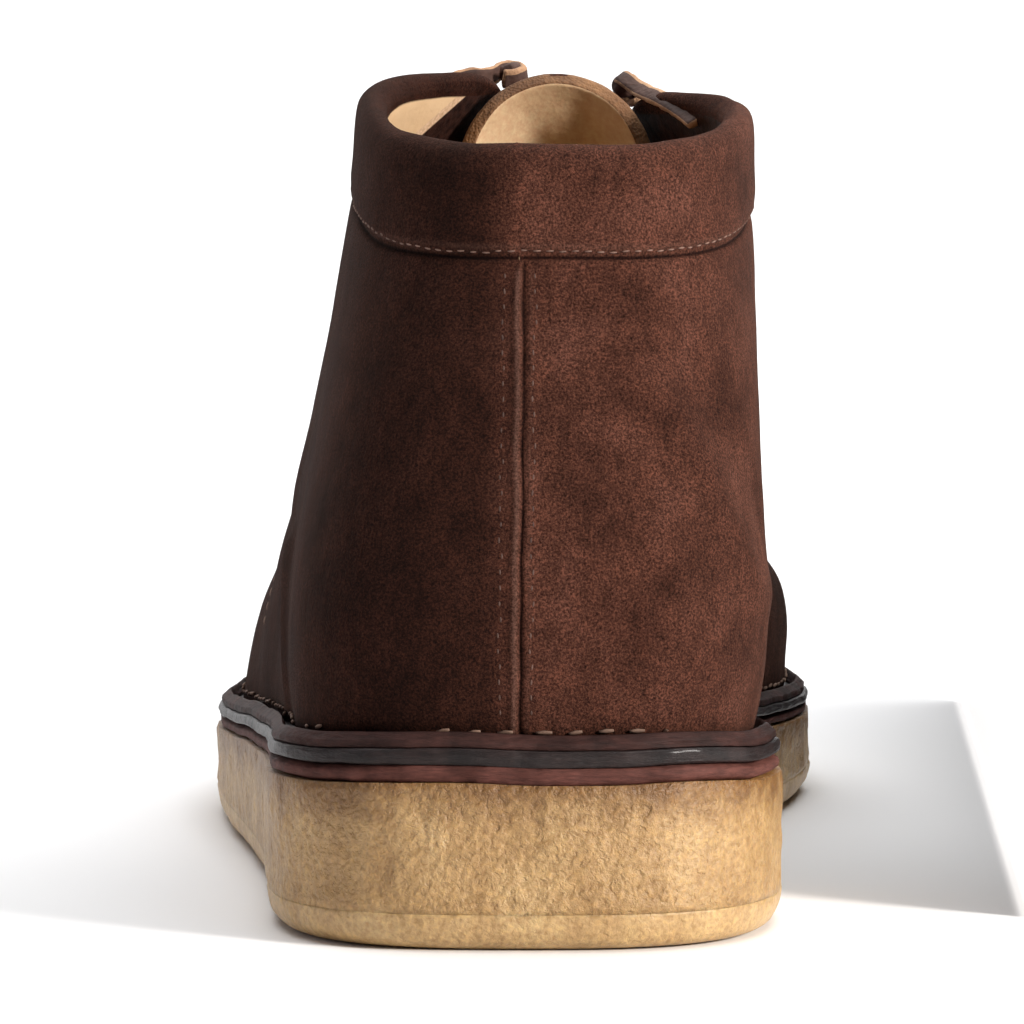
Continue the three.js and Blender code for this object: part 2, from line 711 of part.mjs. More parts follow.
// The tongue follows the arch of the throat from under the vamp, then opens to its free end.
function tongueFaces() {
  const rowAt = (at) => {
    const tuck = ramp(at, QUARTER_END_AT - 0.03, TONGUE_FOOT_AT);
    const sink = THREE.MathUtils.lerp(TONGUE_SINK, TONGUE_TUCK, tuck);
    const section = archSection(at, sink);
    const spread = THREE.MathUtils.lerp(1, 0.62, ramp(at, 0.42, TONGUE_FOOT_AT));
    const row = [];
    for (let j = 0; j <= TONGUE_COLUMNS; j += 1) {
      const share = (2 * j) / TONGUE_COLUMNS - 1;
      row.push(onArch(section, share * TONGUE_HALF_WIDTH * spread));
    }
    return row;
  };
  const rows = [];
  for (let i = 0; i <= TONGUE_ROWS; i += 1) {
    rows.push(rowAt(THREE.MathUtils.lerp(TONGUE_FOOT_AT, TONGUE_OPEN_AT, i / TONGUE_ROWS)));
  }
  const root = rows[rows.length - 1];
  const before = rows[rows.length - 2];
  for (let i = 1; i <= TIP_ROWS; i += 1) {
    rows.push(root.map((point, j) => {
      const share = (2 * j) / TONGUE_COLUMNS - 1;
      const t = (i / TIP_ROWS) * (1 - TIP_ROUNDING * Math.abs(share) ** 3);
      const tip = tipPoint(share);
      const onward = point.clone().sub(before[j]).setLength(point.distanceTo(tip) * t);
      const straight = point.clone().lerp(tip, t);
      return point.clone().add(onward).lerp(straight, t * (2 - t));
    }));
  }
  return sheetFaces(rows.reverse(), TONGUE_THICKNESS);
}

// Eyelets: punched holes near the front edges of the quarters.
function eyelet(side, at) {
  return { side, at, ...surfacePoint(side, at, EYELET_FROM_EDGE) };
}

const EYELETS = {
  topOuter: eyelet(OUTER, TOP_EYELET_AT),
  topInner: eyelet(INNER, TOP_EYELET_AT),
  lowOuter: eyelet(OUTER, LOW_EYELET_AT),
  lowInner: eyelet(INNER, LOW_EYELET_AT),
};

function facesOf(geometry) {
  const position = geometry.getAttribute('position');
  const faces = [];
  for (let i = 0; i < position.count; i += 3) {
    faces.push([0, 1, 2].map((k) => new THREE.Vector3().fromBufferAttribute(position, i + k)));
  }
  return faces;
}

function punched(solid) {
  let result = solid;
  Object.values(EYELETS).forEach((hole) => {
    const drill = new THREE.CylinderGeometry(EYELET_RADIUS, EYELET_RADIUS, DRILL_LENGTH, 14).toNonIndexed();
    drill.applyQuaternion(new THREE.Quaternion().setFromUnitVectors(new THREE.Vector3(0, 1, 0), hole.normal));
    drill.translate(hole.point.x, hole.point.y, hole.point.z);
    result = result.subtract(solidOf(facesOf(drill)));
  });
  return result;
}

function tubeFaces(points, radius) {
  const curve = new THREE.CatmullRomCurve3(points, false, 'centripetal');
  const steps = Math.round(curve.getLength() / 2.2);
  const sides = 8;
  const frames = curve.computeFrenetFrames(steps, false);
  const rings = [];
  for (let i = 0; i <= steps; i += 1) {
    const centre = curve.getPointAt(i / steps);
    const ring = [];
    for (let k = 0; k < sides; k += 1) {
      const angle = (2 * Math.PI * k) / sides;
      ring.push(centre.clone()
        .addScaledVector(frames.normals[i], radius * Math.cos(angle))
        .addScaledVector(frames.binormals[i], radius * Math.sin(angle)));
    }
    rings.push(ring);
  }
  const faces = [];
  for (let i = 0; i < steps; i += 1) {
    band(faces, rings[i], rings[i + 1]);
  }
  const start = rings[0];
  const end = rings[steps];
  for (let k = 1; k < sides - 1; k += 1) {
    faces.push([start[0], start[k + 1], start[k]], [end[0], end[k], end[k + 1]]);
  }
  return faces;
}

// The lace: a bar across the lower eyelets, then crossed under the edges and out of the top ones to a knot.
function laceSolid() {
  const off = (hole, height) => hole.point.clone().addScaledVector(hole.normal, height);
  const beneath = -(WALL + LACE_RADIUS + LACE_DROP);
  const above = QUARTER_STEP + LACE_RADIUS + LACE_LIFT;
  const aboveBand = above + BAND_STEP;
  const acrossOf = (hole) => {
    const section = archSection(hole.at, -beneath);
    const gap = surfacePoint(OUTER, hole.at, 0).point.distanceTo(surfacePoint(INNER, hole.at, 0).point);
    return { section, reach: (gap / 2 + EYELET_FROM_EDGE * 0.5) * hole.side };
  };
  const crossing = (from, to, lift) => {
    const points = [];
    [0, 0.25, 0.5, 0.75, 1].forEach((t) => {
      const at = THREE.MathUtils.lerp(from.at, to.at, t);
      const raised = lift * Math.sin(Math.PI * t);
      const section = archSection(at, -beneath - raised);
      const across = THREE.MathUtils.lerp(acrossOf(from).reach, acrossOf(to).reach, t);
      points.push(onArch(section, across));
    });
    return points;
  };
  const bar = [0.42, 0.2, 0, -0.2, -0.42].map((share) => {
    const section = archSection(LOW_EYELET_AT, -above);
    return onArch(section, share * (acrossOf(EYELETS.lowInner).reach * 2));
  });
  const byEdge = (side, fromEdge, height) => {
    const gap = surfacePoint(OUTER, KNOT_AT, 0).point.distanceTo(surfacePoint(INNER, KNOT_AT, 0).point);
    return onArch(archSection(KNOT_AT, -height), side * (gap / 2 + fromEdge));
  };
  const knotPlace = (side) => byEdge(side, KNOT_FROM_EDGE, KNOT_HEIGHT);
  const overEdge = (side) => byEdge(side, 0, EDGE_CLEARANCE);
  const through = (hole, heights) => heights.map((height) => off(hole, height));
  const down = [1.3, 0, -1.3, beneath];
  const { topOuter, topInner, lowOuter, lowInner } = EYELETS;
  const first = [
    knotPlace(OUTER), overEdge(OUTER), off(topOuter, aboveBand), ...through(topOuter, down),
    ...crossing(topOuter, lowInner, 0),
    ...through(lowInner, [...down].reverse()), off(lowInner, above),
    ...bar,
    off(lowOuter, above), ...through(lowOuter, down),
  ];
  const second = [
    off(lowOuter, beneath),
    ...crossing(lowOuter, topInner, 1.2),
    ...through(topInner, [...down].reverse()), off(topInner, aboveBand), overEdge(INNER), knotPlace(INNER),
  ];
  let solid = solidOf(tubeFaces(first, LACE_RADIUS)).add(solidOf(tubeFaces(second, LACE_RADIUS)));
  [OUTER, INNER].forEach((side) => {
    const ball = new THREE.SphereGeometry(KNOT_RADIUS, 10, 8).toNonIndexed();
    const centre = knotPlace(side);
    ball.translate(centre.x, centre.y, centre.z);
    solid = solid.add(solidOf(facesOf(ball)));
  });
  return solid;
}

function piece(name, geometry, colour, roughness) {
  geometry.computeVertexNormals();
  const material = new THREE.MeshStandardMaterial({ color: colour, roughness, metalness: 0 });
  const mesh = new THREE.Mesh(geometry, material);
  mesh.name = name;
  return mesh;
}

const boot = new THREE.Group();
boot.name = 'desert_boot';
boot.add(piece('crepe_outsole', geometryOf(outsoleFaces()), 0xd8b072, 0.75));
boot.add(piece('crepe_wedge', geometryOf(wedgeFaces()), 0xd2a868, 0.75));
boot.add(piece('midsole_brown', geometryOf(brownLayerFaces()), 0x60423a, 0.6));
boot.add(piece('midsole_black', geometryOf(blackLayerFaces()), 0x201a1a, 0.35));
boot.add(piece('welt', geometryOf(weltFaces()), 0x472c27, 0.7));
boot.add(piece('insole', geometryOf(insoleFaces()), 0xd2ab7c, 0.8));
boot.add(piece('upper', geometryOfSolid(punched(solidOf(upperFaces()))), 0x5c3a2f, 0.95));
boot.add(piece('tongue', geometryOf(tongueFaces()), 0x4a2e26, 0.9));
boot.add(piece('lace', geometryOfSolid(laceSolid()), 0x7a5036, 0.7));

// The origin is at the centre of the boot's box, on the ground.
const box = new THREE.Box3().setFromObject(boot);
const middle = box.getCenter(new THREE.Vector3());
boot.children.forEach((mesh) => mesh.geometry.translate(-middle.x, -middle.y, -box.min.z));

export default boot;
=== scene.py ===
# %% [markdown]
# A suede desert boot on a crepe wedge, seen from straight behind the heel.
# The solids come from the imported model. They are the truth for size and place.
# Each one is copied, smoothed and given the fine relief that a solid leaves out: grain, nap, stitches.

# %% Load the solids
import math
import random

import bmesh
import bpy
from mathutils import Matrix, Vector, noise
from mathutils.bvhtree import BVHTree
from mathutils.kdtree import KDTree


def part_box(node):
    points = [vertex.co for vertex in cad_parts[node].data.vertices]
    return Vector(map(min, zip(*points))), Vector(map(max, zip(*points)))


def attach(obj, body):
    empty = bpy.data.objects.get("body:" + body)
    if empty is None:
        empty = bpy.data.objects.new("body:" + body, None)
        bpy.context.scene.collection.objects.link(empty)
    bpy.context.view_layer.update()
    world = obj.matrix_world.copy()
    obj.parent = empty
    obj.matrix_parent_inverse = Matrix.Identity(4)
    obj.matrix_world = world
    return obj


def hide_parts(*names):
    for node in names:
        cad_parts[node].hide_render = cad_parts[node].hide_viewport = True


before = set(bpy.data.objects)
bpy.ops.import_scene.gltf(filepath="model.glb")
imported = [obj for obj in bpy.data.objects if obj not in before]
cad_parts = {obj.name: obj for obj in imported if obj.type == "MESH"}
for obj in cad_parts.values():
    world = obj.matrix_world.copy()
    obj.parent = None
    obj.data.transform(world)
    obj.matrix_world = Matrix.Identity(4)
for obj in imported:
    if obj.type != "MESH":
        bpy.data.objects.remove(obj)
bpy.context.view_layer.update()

MM = 0.001
HEEL_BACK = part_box("crepe_wedge")[0].y
HEEL_MIDDLE = 1.7
print("solids:", sorted(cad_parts))

# %% [markdown]
# A photograph taken close to its subject widens what is near.
# This one was taken about 65 cm behind the heel and 97 mm above the floor, so the camera stands there.
# It is tipped down a little to the middle of the boot, with a long lens and no shift.

# %% Camera
EYE_BEHIND_HEEL = 646.6
EYE_HEIGHT = 97
EYE = Vector((HEEL_MIDDLE * MM, HEEL_BACK - EYE_BEHIND_HEEL * MM, EYE_HEIGHT * MM))
PHOTO_FOCUS = 2700.0
PHOTO_CENTRE = (289.0, 400.0)
WINDOW = (279.0, 534.0, 624.0)

camera_data = bpy.data.cameras.new("camera")
camera = bpy.data.objects.new("camera", camera_data)
bpy.context.scene.collection.objects.link(camera)
camera_data.sensor_width = 36.0
camera_data.lens = 36.0 * PHOTO_FOCUS / WINDOW[2]
camera_data.clip_start = 0.01
tip_down = math.atan((WINDOW[1] - PHOTO_CENTRE[1]) / PHOTO_FOCUS)
turn = math.atan((WINDOW[0] - PHOTO_CENTRE[0]) / PHOTO_FOCUS)
camera.location = EYE
camera.rotation_euler = (math.pi / 2 - tip_down, 0, -turn)
bpy.context.scene.camera = camera
print("lens", round(camera_data.lens, 1), "mm, tipped down", round(math.degrees(tip_down), 2), "degrees")

# %% [markdown]
# The floor and the wall behind are one pale sheet with a curved join, as in a photographer's studio.
# No line then shows where the floor ends.

# %% Studio sheet
sheet = bmesh.new()
edge = [sheet.verts.new((-4.0, -3.0, 0.0)), sheet.verts.new((4.0, -3.0, 0.0))]
rim = [sheet.edges.new(edge)]
for run, rise in ((5.2, 0.0), (0.5, 0.08), (0.4, 0.3), (0.25, 0.5), (0.05, 3.0)):
    grown = bmesh.ops.extrude_edge_only(sheet, edges=rim)["geom"]
    rim = [e for e in grown if isinstance(e, bmesh.types.BMEdge) and all(v in grown for v in e.verts)]
    rim = [e for e in rim if abs(e.verts[0].co.y - e.verts[1].co.y) < 1e-6]
    fresh = [v for v in grown if isinstance(v, bmesh.types.BMVert)]
    bmesh.ops.translate(sheet, verts=fresh, vec=(0, run, rise))
bmesh.ops.recalc_face_normals(sheet, faces=sheet.faces)
sheet_mesh = bpy.data.meshes.new("studio_sheet")
sheet.to_mesh(sheet_mesh)
sheet.free()
studio = bpy.data.objects.new("studio_sheet", sheet_mesh)
bpy.context.scene.collection.objects.link(studio)
for face in sheet_mesh.polygons:
    face.use_smooth = True
print("studio sheet faces:", len(sheet_mesh.polygons))

# %% [markdown]
# A soft light stands far to the right, level with the camera, so the left of the heel is in shade.
# A wide light overhead whitens the floor, another whitens the wall, and a small cool one on the left
# gives the polished edges their glint.
# The waist and the floor on the inner side lie in shade. A low black studio flag keeps light off them.
# The camera doesn't see the flag, so it never hides the boot.

# %% Lights
def soft_light(name, place, aim, size, power, colour):
    data = bpy.data.lights.new(name, "AREA")
    data.shape = "RECTANGLE"
    data.size, data.size_y = size
    data.energy = power
    data.color = colour
    light = bpy.data.objects.new(name, data)
    light.location = place
    light.rotation_euler = (Vector(aim) - Vector(place)).to_track_quat("-Z", "Y").to_euler()
    bpy.context.scene.collection.objects.link(light)
    return light


soft_light("key", (1.08, -0.80, 0.52), (0, -0.14, 0.08), (0.26, 0.32), 26.0, (1.0, 0.96, 0.92))
soft_light("overhead", (0.1, 0.5, 1.9), (0, 0.25, 0), (2.6, 2.2), 60.0, (1, 1, 1))
soft_light("left_glint", (-0.9, -0.35, 0.42), (0, -0.1, 0.03), (0.12, 0.5), 0.7, (0.86, 0.82, 1.0))
soft_light("wall", (0, 1.5, 1.6), (0, 3.3, 0.6), (3.0, 1.0), 44.0, (1, 1, 1))


def studio_flag(name, near, far, height):
    bm = bmesh.new()
    corners = [(*near, 0.001), (*far, 0.001), (*far, height), (*near, height)]
    bm.faces.new([bm.verts.new(c) for c in corners])
    mesh = bpy.data.meshes.new(name)
    bm.to_mesh(mesh)
    bm.free()
    flag = bpy.data.objects.new(name, mesh)
    bpy.context.scene.collection.objects.link(flag)
    flag.visible_camera = False
    return flag


flag = studio_flag("flag", (0.080, -0.115), (0.105, 0.25), 0.085)
world = bpy.data.worlds.new("studio")
world.use_nodes = True
world.node_tree.nodes["Background"].inputs["Color"].default_value = (1, 1, 1, 1)
world.node_tree.nodes["Background"].inputs["Strength"].default_value = 0.08
bpy.context.scene.world = world
bpy.context.scene.view_settings.view_transform = "Standard"
print("lights: 4, and a dim white surround")

# %% [markdown]
# A material is a small chain of nodes. These two helpers keep the chains short to read.
# The patterns are measured in the piece's own space, so they stay put when the camera moves.

# %% Material helpers
def blank(name, roughness=0.8):
    material = bpy.data.materials.new(name)
    material.use_nodes = True
    tree = material.node_tree
    shader = tree.nodes["Principled BSDF"]
    shader.inputs["Roughness"].default_value = roughness
    place = tree.nodes.new("ShaderNodeTexCoord")
    return material, tree, shader, place.outputs["Object"]


def grain(tree, where, size_mm, detail=3.0, rough=0.6, stretch=None):
    if stretch:
        mapping = tree.nodes.new("ShaderNodeMapping")
        mapping.inputs["Scale"].default_value = stretch
        tree.links.new(where, mapping.inputs["Vector"])
        where = mapping.outputs["Vector"]
    node = tree.nodes.new("ShaderNodeTexNoise")
    node.inputs["Scale"].default_value = 1.0 / (size_mm * MM)
    node.inputs["Detail"].default_value = detail
    node.inputs["Roughness"].default_value = rough
    tree.links.new(where, node.inputs["Vector"])
    return node.outputs["Fac"]


def ramp(tree, value, stops):
    node = tree.nodes.new("ShaderNodeValToRGB")
    while len(node.color_ramp.elements) < len(stops):
        node.color_ramp.elements.new(0.5)
    for element, (position, colour) in zip(node.color_ramp.elements, stops):
        element.position = position
        element.color = (*colour, 1)
    tree.links.new(value, node.inputs["Fac"])
    return node.outputs["Color"]


def mixed(tree, kind, amount, first, second):
    node = tree.nodes.new("ShaderNodeMix")
    node.data_type = "RGBA"
    node.blend_type = kind
    for socket, value in (("Factor", amount), (6, first), (7, second)):
        target = node.inputs[socket]
        if isinstance(value, bpy.types.NodeSocket):
            tree.links.new(value, target)
        elif isinstance(value, tuple):
            target.default_value = (*value, 1)
        else:
            target.default_value = value
    return node.outputs[2]


def bumped(tree, shader, heights):
    last = None
    for value, depth_mm, strength in heights:
        node = tree.nodes.new("ShaderNodeBump")
        node.inputs["Distance"].default_value = depth_mm * MM
        node.inputs["Strength"].default_value = strength
        tree.links.new(value, node.inputs["Height"])
        if last:
            tree.links.new(last, node.inputs["Normal"])
        last = node.outputs["Normal"]
    tree.links.new(last, shader.inputs["Normal"])


# %% [markdown]
# Suede is leather with its surface brushed to a short nap. It has no gloss: light catches the fibre tips,
# so it gets sheen. The outer side of the boot, past the back seam, is darkened with painted shade.
# Fingers and brushes leave it mottled. Wear and painted highlight lighten the band lip, seam ridge and rim;
# painted shade darkens the band's fold line and the seam groove.

# %% Suede
PAINTED_SHADE_EDGE = -2.5 * MM
PAINTED_SHADE_BLEND = 3.5 * MM


def attribute(tree, name):
    node = tree.nodes.new("ShaderNodeAttribute")
    node.attribute_name = name
    return node.outputs["Fac"]


def stepped(tree, value, start, end):
    node = tree.nodes.new("ShaderNodeMapRange")
    node.interpolation_type = "SMOOTHSTEP"
    node.inputs["From Min"].default_value = start
    node.inputs["From Max"].default_value = end
    tree.links.new(value, node.inputs["Value"])
    return node.outputs["Result"]


def across_boot(tree, where):
    split = tree.nodes.new("ShaderNodeSeparateXYZ")
    tree.links.new(where, split.inputs["Vector"])
    return split.outputs


def suede_paint(tree, where, dark, middle, light):
    cloud = grain(tree, where, 12, 4, 0.58)
    brushed = grain(tree, where, 2.1, 5, 0.72, (1.0, 1.0, 0.5))
    fibre = grain(tree, where, 0.36, 3, 0.8)
    base = ramp(tree, cloud, ((0.30, dark), (0.52, middle), (0.74, light)))
    streak = ramp(tree, brushed, (
        (0.30, (0.30, 0.29, 0.28)), (0.5, (0.5, 0.5, 0.5)), (0.72, (0.70, 0.68, 0.66))))
    speck = ramp(tree, fibre, (
        (0.32, (0.04, 0.03, 0.03)), (0.5, (0.44, 0.44, 0.44)), (0.64, (1.0, 0.97, 0.95))))
    colour = mixed(tree, "OVERLAY", 0.7, base, streak)
    colour = mixed(tree, "OVERLAY", 0.95, colour, speck)
    # Painted shade: the outer side, past the back seam, is darkened as if turned from the light.
    side = stepped(tree, across_boot(tree, where)["X"], PAINTED_SHADE_EDGE - PAINTED_SHADE_BLEND, PAINTED_SHADE_EDGE + PAINTED_SHADE_BLEND)
    painted_side_shade = ramp(tree, side, ((0.0, (0.40, 0.37, 0.35)), (1.0, (1.0, 1.0, 1.0))))
    colour = mixed(tree, "MULTIPLY", 1.0, colour, painted_side_shade)
    # Lighter colour from a per-point mask: wear on the suede, with painted highlight on the band lip, seam
    # ridge and rim roll.
    wear_and_highlight = ramp(tree, fibre, ((0.35, (0.07, 0.030, 0.021)), (0.65, (0.20, 0.105, 0.078))))
    colour = mixed(tree, "MIX", stepped(tree, attribute(tree, "wear_and_highlight"), 0.05, 1.6), colour, wear_and_highlight)
    # Painted shade: darker in the band's fold line, the seam groove and beside the counter ridge.
    hollow_shade_amount = stepped(tree, attribute(tree, "painted_hollow_shade"), 0.1, 0.9)
    painted_hollow_shade = ramp(tree, hollow_shade_amount, ((0, (1, 1, 1)), (1, (0.16, 0.13, 0.12))))
    colour = mixed(tree, "MULTIPLY", 1.0, colour, painted_hollow_shade)
    return colour, brushed, fibre


def suede(name, dark, middle, light):
    material, tree, shader, where = blank(name, 0.95)
    colour, brushed, fibre = suede_paint(tree, where, dark, middle, light)
    tree.links.new(colour, shader.inputs["Base Color"])
    shader.inputs["Specular IOR Level"].default_value = 0.08
    shader.inputs["Sheen Weight"].default_value = 0.07
    shader.inputs["Sheen Roughness"].default_value = 0.4
    shader.inputs["Sheen Tint"].default_value = (0.60, 0.38, 0.30, 1)
    bumped(tree, shader, ((brushed, 0.5, 0.55), (fibre, 0.28, 0.9)))
    return material


SUEDE_SHADES = ((0.033, 0.0115, 0.0070), (0.064, 0.0235, 0.0147), (0.088, 0.0345, 0.0230))
suede_skin = suede("suede", *SUEDE_SHADES)
print("suede ready")

# %% [markdown]
# Crepe is raw rubber, rolled into sheets and left crinkled. It is honey coloured, slightly see-through,
# with darker amber crumbs and a pebbled skin.

# %% Crepe rubber
def crepe(name, deep, middle, pale, top_tint, crinkle):
    material, tree, shader, where = blank(name, 0.44)
    pebble = grain(tree, where, 0.95, 4, 0.66)
    cloud = grain(tree, where, 8, 3, 0.6, (1.0, 1.0, 0.6))
    veins = tree.nodes.new("ShaderNodeTexVoronoi")
    veins.feature = "SMOOTH_F1"
    veins.inputs["Scale"].default_value = 1.0 / (1.25 * MM)
    wander = mixed(tree, "LINEAR_LIGHT", 0.0016, where, grain(tree, where, 1.6, 3, 0.6))
    tree.links.new(wander, veins.inputs["Vector"])
    base = ramp(tree, cloud, ((0.32, deep), (0.52, middle), (0.72, pale)))
    spots = ramp(tree, pebble, (
        (0.34, (0.36, 0.32, 0.26)), (0.50, (0.5, 0.5, 0.5)), (0.68, (0.66, 0.65, 0.60))))
    colour = mixed(tree, "OVERLAY", 0.75, base, spots)
    uneven = tree.nodes.new("ShaderNodeMath")
    uneven.operation = "MULTIPLY_ADD"
    tree.links.new(grain(tree, where, 4.5, 4, 0.7), uneven.inputs[0])
    uneven.inputs[1].default_value = -14.0
    uneven.inputs[2].default_value = 7.0
    total = tree.nodes.new("ShaderNodeMath")
    tree.links.new(uneven.outputs[0], total.inputs[0])
    tree.links.new(attribute(tree, "from_top"), total.inputs[1])
    down = stepped(tree, total.outputs[0], -1.0, 8.0)
    amber = mixed(tree, "MULTIPLY", 1.0, colour, ramp(tree, down, ((0.0, top_tint), (1.0, (1, 1, 1)))))
    tree.links.new(amber, shader.inputs["Base Color"])
    shader.inputs["Subsurface Weight"].default_value = 0.2
    shader.inputs["Subsurface Radius"].default_value = (0.9, 0.5, 0.2)
    shader.inputs["Subsurface Scale"].default_value = 2 * MM
    bumped(tree, shader, ((cloud, 0.8, 0.4), (veins.outputs["Distance"], 0.55 * crinkle, 0.8),
                          (pebble, 0.4 * crinkle, 0.8)))
    return material


AMBER = (0.46, 0.36, 0.24)
SIDE_SHADES = ((0.33, 0.190, 0.072), (0.42, 0.258, 0.108), (0.51, 0.335, 0.155))
BASE_SHADES = ((0.42, 0.260, 0.112), (0.49, 0.320, 0.145), (0.56, 0.380, 0.182))
crepe_side = crepe("crepe_side", *SIDE_SHADES, AMBER, 1.0)
crepe_base = crepe("crepe_base", *BASE_SHADES, (1, 1, 1), 0.45)
print("crepe ready")

# %% [markdown]
# The thin layers are leather. Their edges are dressed: stained red-brown on one,
# blacked and polished on the other.

# %% Edge leathers
def dressed_edge(name, dark, light, roughness, grain_mm, depth_mm, coat=0.0):
    material, tree, shader, where = blank(name, roughness)
    streaks = grain(tree, where, grain_mm, 4, 0.65, (0.35, 0.35, 2.2))
    cloud = grain(tree, where, 7, 3, 0.6)
    colour = mixed(tree, "OVERLAY", 0.6, ramp(tree, cloud, ((0.35, dark), (0.68, light))),
                   ramp(tree, streaks, ((0.32, (0.25, 0.25, 0.25)), (0.70, (0.78, 0.76, 0.74)))))
    tree.links.new(colour, shader.inputs["Base Color"])
    shader.inputs["Specular IOR Level"].default_value = 0.18
    shader.inputs["Coat Weight"].default_value = coat
    shader.inputs["Coat Roughness"].default_value = 0.2
    bumped(tree, shader, ((streaks, depth_mm, 0.7), (cloud, 0.5, 0.4)))
    return material


brown_edge = dressed_edge("brown_edge", (0.060, 0.020, 0.015), (0.125, 0.046, 0.036), 0.7, 0.9, 0.35)
black_edge = dressed_edge("black_edge", (0.010, 0.0065, 0.0065), (0.026, 0.016, 0.015), 0.46, 1.1, 0.8, 0.14)
welt_leather = dressed_edge("welt_leather", (0.020, 0.008, 0.0065), (0.052, 0.020, 0.016), 0.62, 1.0, 0.5)


def smooth_leather(name, dark, light, roughness, pore_mm, depth_mm):
    material, tree, shader, where = blank(name, roughness)
    cloud = grain(tree, where, 14, 3, 0.55)
    pores = tree.nodes.new("ShaderNodeTexVoronoi")
    pores.inputs["Scale"].default_value = 1.0 / (pore_mm * MM)
    tree.links.new(where, pores.inputs["Vector"])
    soft = grain(tree, where, 1.1, 4, 0.6)
    colour = mixed(tree, "OVERLAY", 0.35, ramp(tree, cloud, ((0.34, dark), (0.66, light))), ramp(
        tree, soft, ((0.35, (0.32, 0.31, 0.30)), (0.68, (0.68, 0.68, 0.67)))))
    tree.links.new(colour, shader.inputs["Base Color"])
    bumped(tree, shader, ((pores.outputs["Distance"], depth_mm, 0.5), (soft, depth_mm, 0.5)))
    return material


LINING_SHADES = ((0.66, 0.44, 0.25), (0.74, 0.52, 0.31))
lining = smooth_leather("lining", *LINING_SHADES, 0.6, 0.7, 0.06)
raw_edge = smooth_leather("raw_edge", (0.14, 0.062, 0.025), (0.34, 0.180, 0.082), 0.9, 0.5, 0.35)
lace_edge = smooth_leather("lace_edge", (0.26, 0.135, 0.070), (0.55, 0.330, 0.190), 0.9, 0.5, 0.2)
lace_leather = smooth_leather("lace_leather", (0.030, 0.012, 0.008), (0.085, 0.036, 0.023), 0.75, 0.8, 0.15)
thread = smooth_leather("thread", (0.13, 0.070, 0.050), (0.21, 0.12, 0.088), 0.8, 0.4, 0.05)
dark_thread = smooth_leather("dark_thread", (0.055, 0.026, 0.018), (0.125, 0.066, 0.047), 0.8, 0.4, 0.05)
pale_thread = smooth_leather("pale_thread", (0.16, 0.092, 0.062), (0.27, 0.165, 0.115), 0.75, 0.4, 0.05)
print("leathers ready")

# %% [markdown]
# Pale paper on the studio floor: a plain white that takes a soft shadow. The flag is black cloth.

# %% Studio paper
paper, paper_tree, paper_shader, paper_where = blank("studio_paper", 0.9)
paper_grain = grain(paper_tree, paper_where, 600, 2, 0.5)
paper_tint = ramp(paper_tree, paper_grain, ((0.3, (0.9, 0.9, 0.905)), (0.7, (0.92, 0.92, 0.92))))
paper_tree.links.new(paper_tint, paper_shader.inputs["Base Color"])
paper_shader.inputs["Specular IOR Level"].default_value = 0.05
studio.data.materials.append(paper)
black_cloth, cloth_tree, cloth_shader, cloth_where = blank("black_cloth", 1.0)
cloth_grain = grain(cloth_tree, cloth_where, 20)
cloth_tint = ramp(cloth_tree, cloth_grain, ((0.4, (0.01, 0.01, 0.012)), (0.6, (0.018, 0.017, 0.02))))
cloth_tree.links.new(cloth_tint, cloth_shader.inputs["Base Color"])
flag.data.materials.append(black_cloth)

# %% [markdown]
# Every piece starts as a copy of its solid. The copy's loose triangles are merged and joined to quads,
# and sharp corners get a crease, so that subdivision rounds the long curves and keeps the edges.

# %% Copy a solid
def copied(node):
    bm = bmesh.new()
    bm.from_mesh(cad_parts[node].data)
    bmesh.ops.remove_doubles(bm, verts=bm.verts, dist=2e-6)
    bmesh.ops.join_triangles(bm, faces=bm.faces, angle_face_threshold=math.radians(35),
                             angle_shape_threshold=math.radians(60), cmp_seam=False)
    return bm


def crease_corners(bm, degrees, amount=1.0):
    layer = bm.edges.layers.float.get("crease_edge") or bm.edges.layers.float.new("crease_edge")
    sharp = 0
    for e in bm.edges:
        if len(e.link_faces) == 2 and e.calc_face_angle(0) > math.radians(degrees):
            e[layer] = amount
            sharp += 1
    return sharp


def as_piece(bm, name, materials, stands_for=None, smooth=True):
    mesh = bpy.data.meshes.new(name)
    bm.to_mesh(mesh)
    bm.free()
    piece = bpy.data.objects.new(name, mesh)
    bpy.context.scene.collection.objects.link(piece)
    for material in materials:
        mesh.materials.append(material)
    for face in mesh.polygons:
        face.use_smooth = smooth
    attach(piece, "root")
    if stands_for:
        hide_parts(stands_for)
    return piece


def subdivided(bm, levels):
    mesh = bpy.data.meshes.new("working")
    bm.to_mesh(mesh)
    bm.free()
    carrier = bpy.data.objects.new("working", mesh)
    bpy.context.scene.collection.objects.link(carrier)
    modifier = carrier.modifiers.new("rounder", "SUBSURF")
    modifier.levels = modifier.render_levels = levels
    graph = bpy.context.evaluated_depsgraph_get()
    fine = bpy.data.meshes.new_from_object(carrier.evaluated_get(graph))
    bpy.data.objects.remove(carrier)
    result = bmesh.new()
    result.from_mesh(fine)
    bpy.data.meshes.remove(fine)
    bpy.data.meshes.remove(mesh)
    result.normal_update()
    return result


def pushed(bm, amount_at):
    moves = [(v, v.normal.copy() * amount_at(v)) for v in bm.verts]
    for v, move in moves:
        v.co += move


def refined(bm, wanted, longest_mm, passes=4):
    for _ in range(passes):
        long_edges = [e for e in bm.edges if e.calc_length() > longest_mm * MM and wanted(e)]
        if not long_edges:
            break
        bmesh.ops.subdivide_edges(bm, edges=long_edges, cuts=1, use_grid_fill=True)
    bm.normal_update()


def heel_frame(point):
    return Vector((point.x * 1000 - HEEL_MIDDLE, (point.y - HEEL_BACK) * 1000, point.z * 1000))


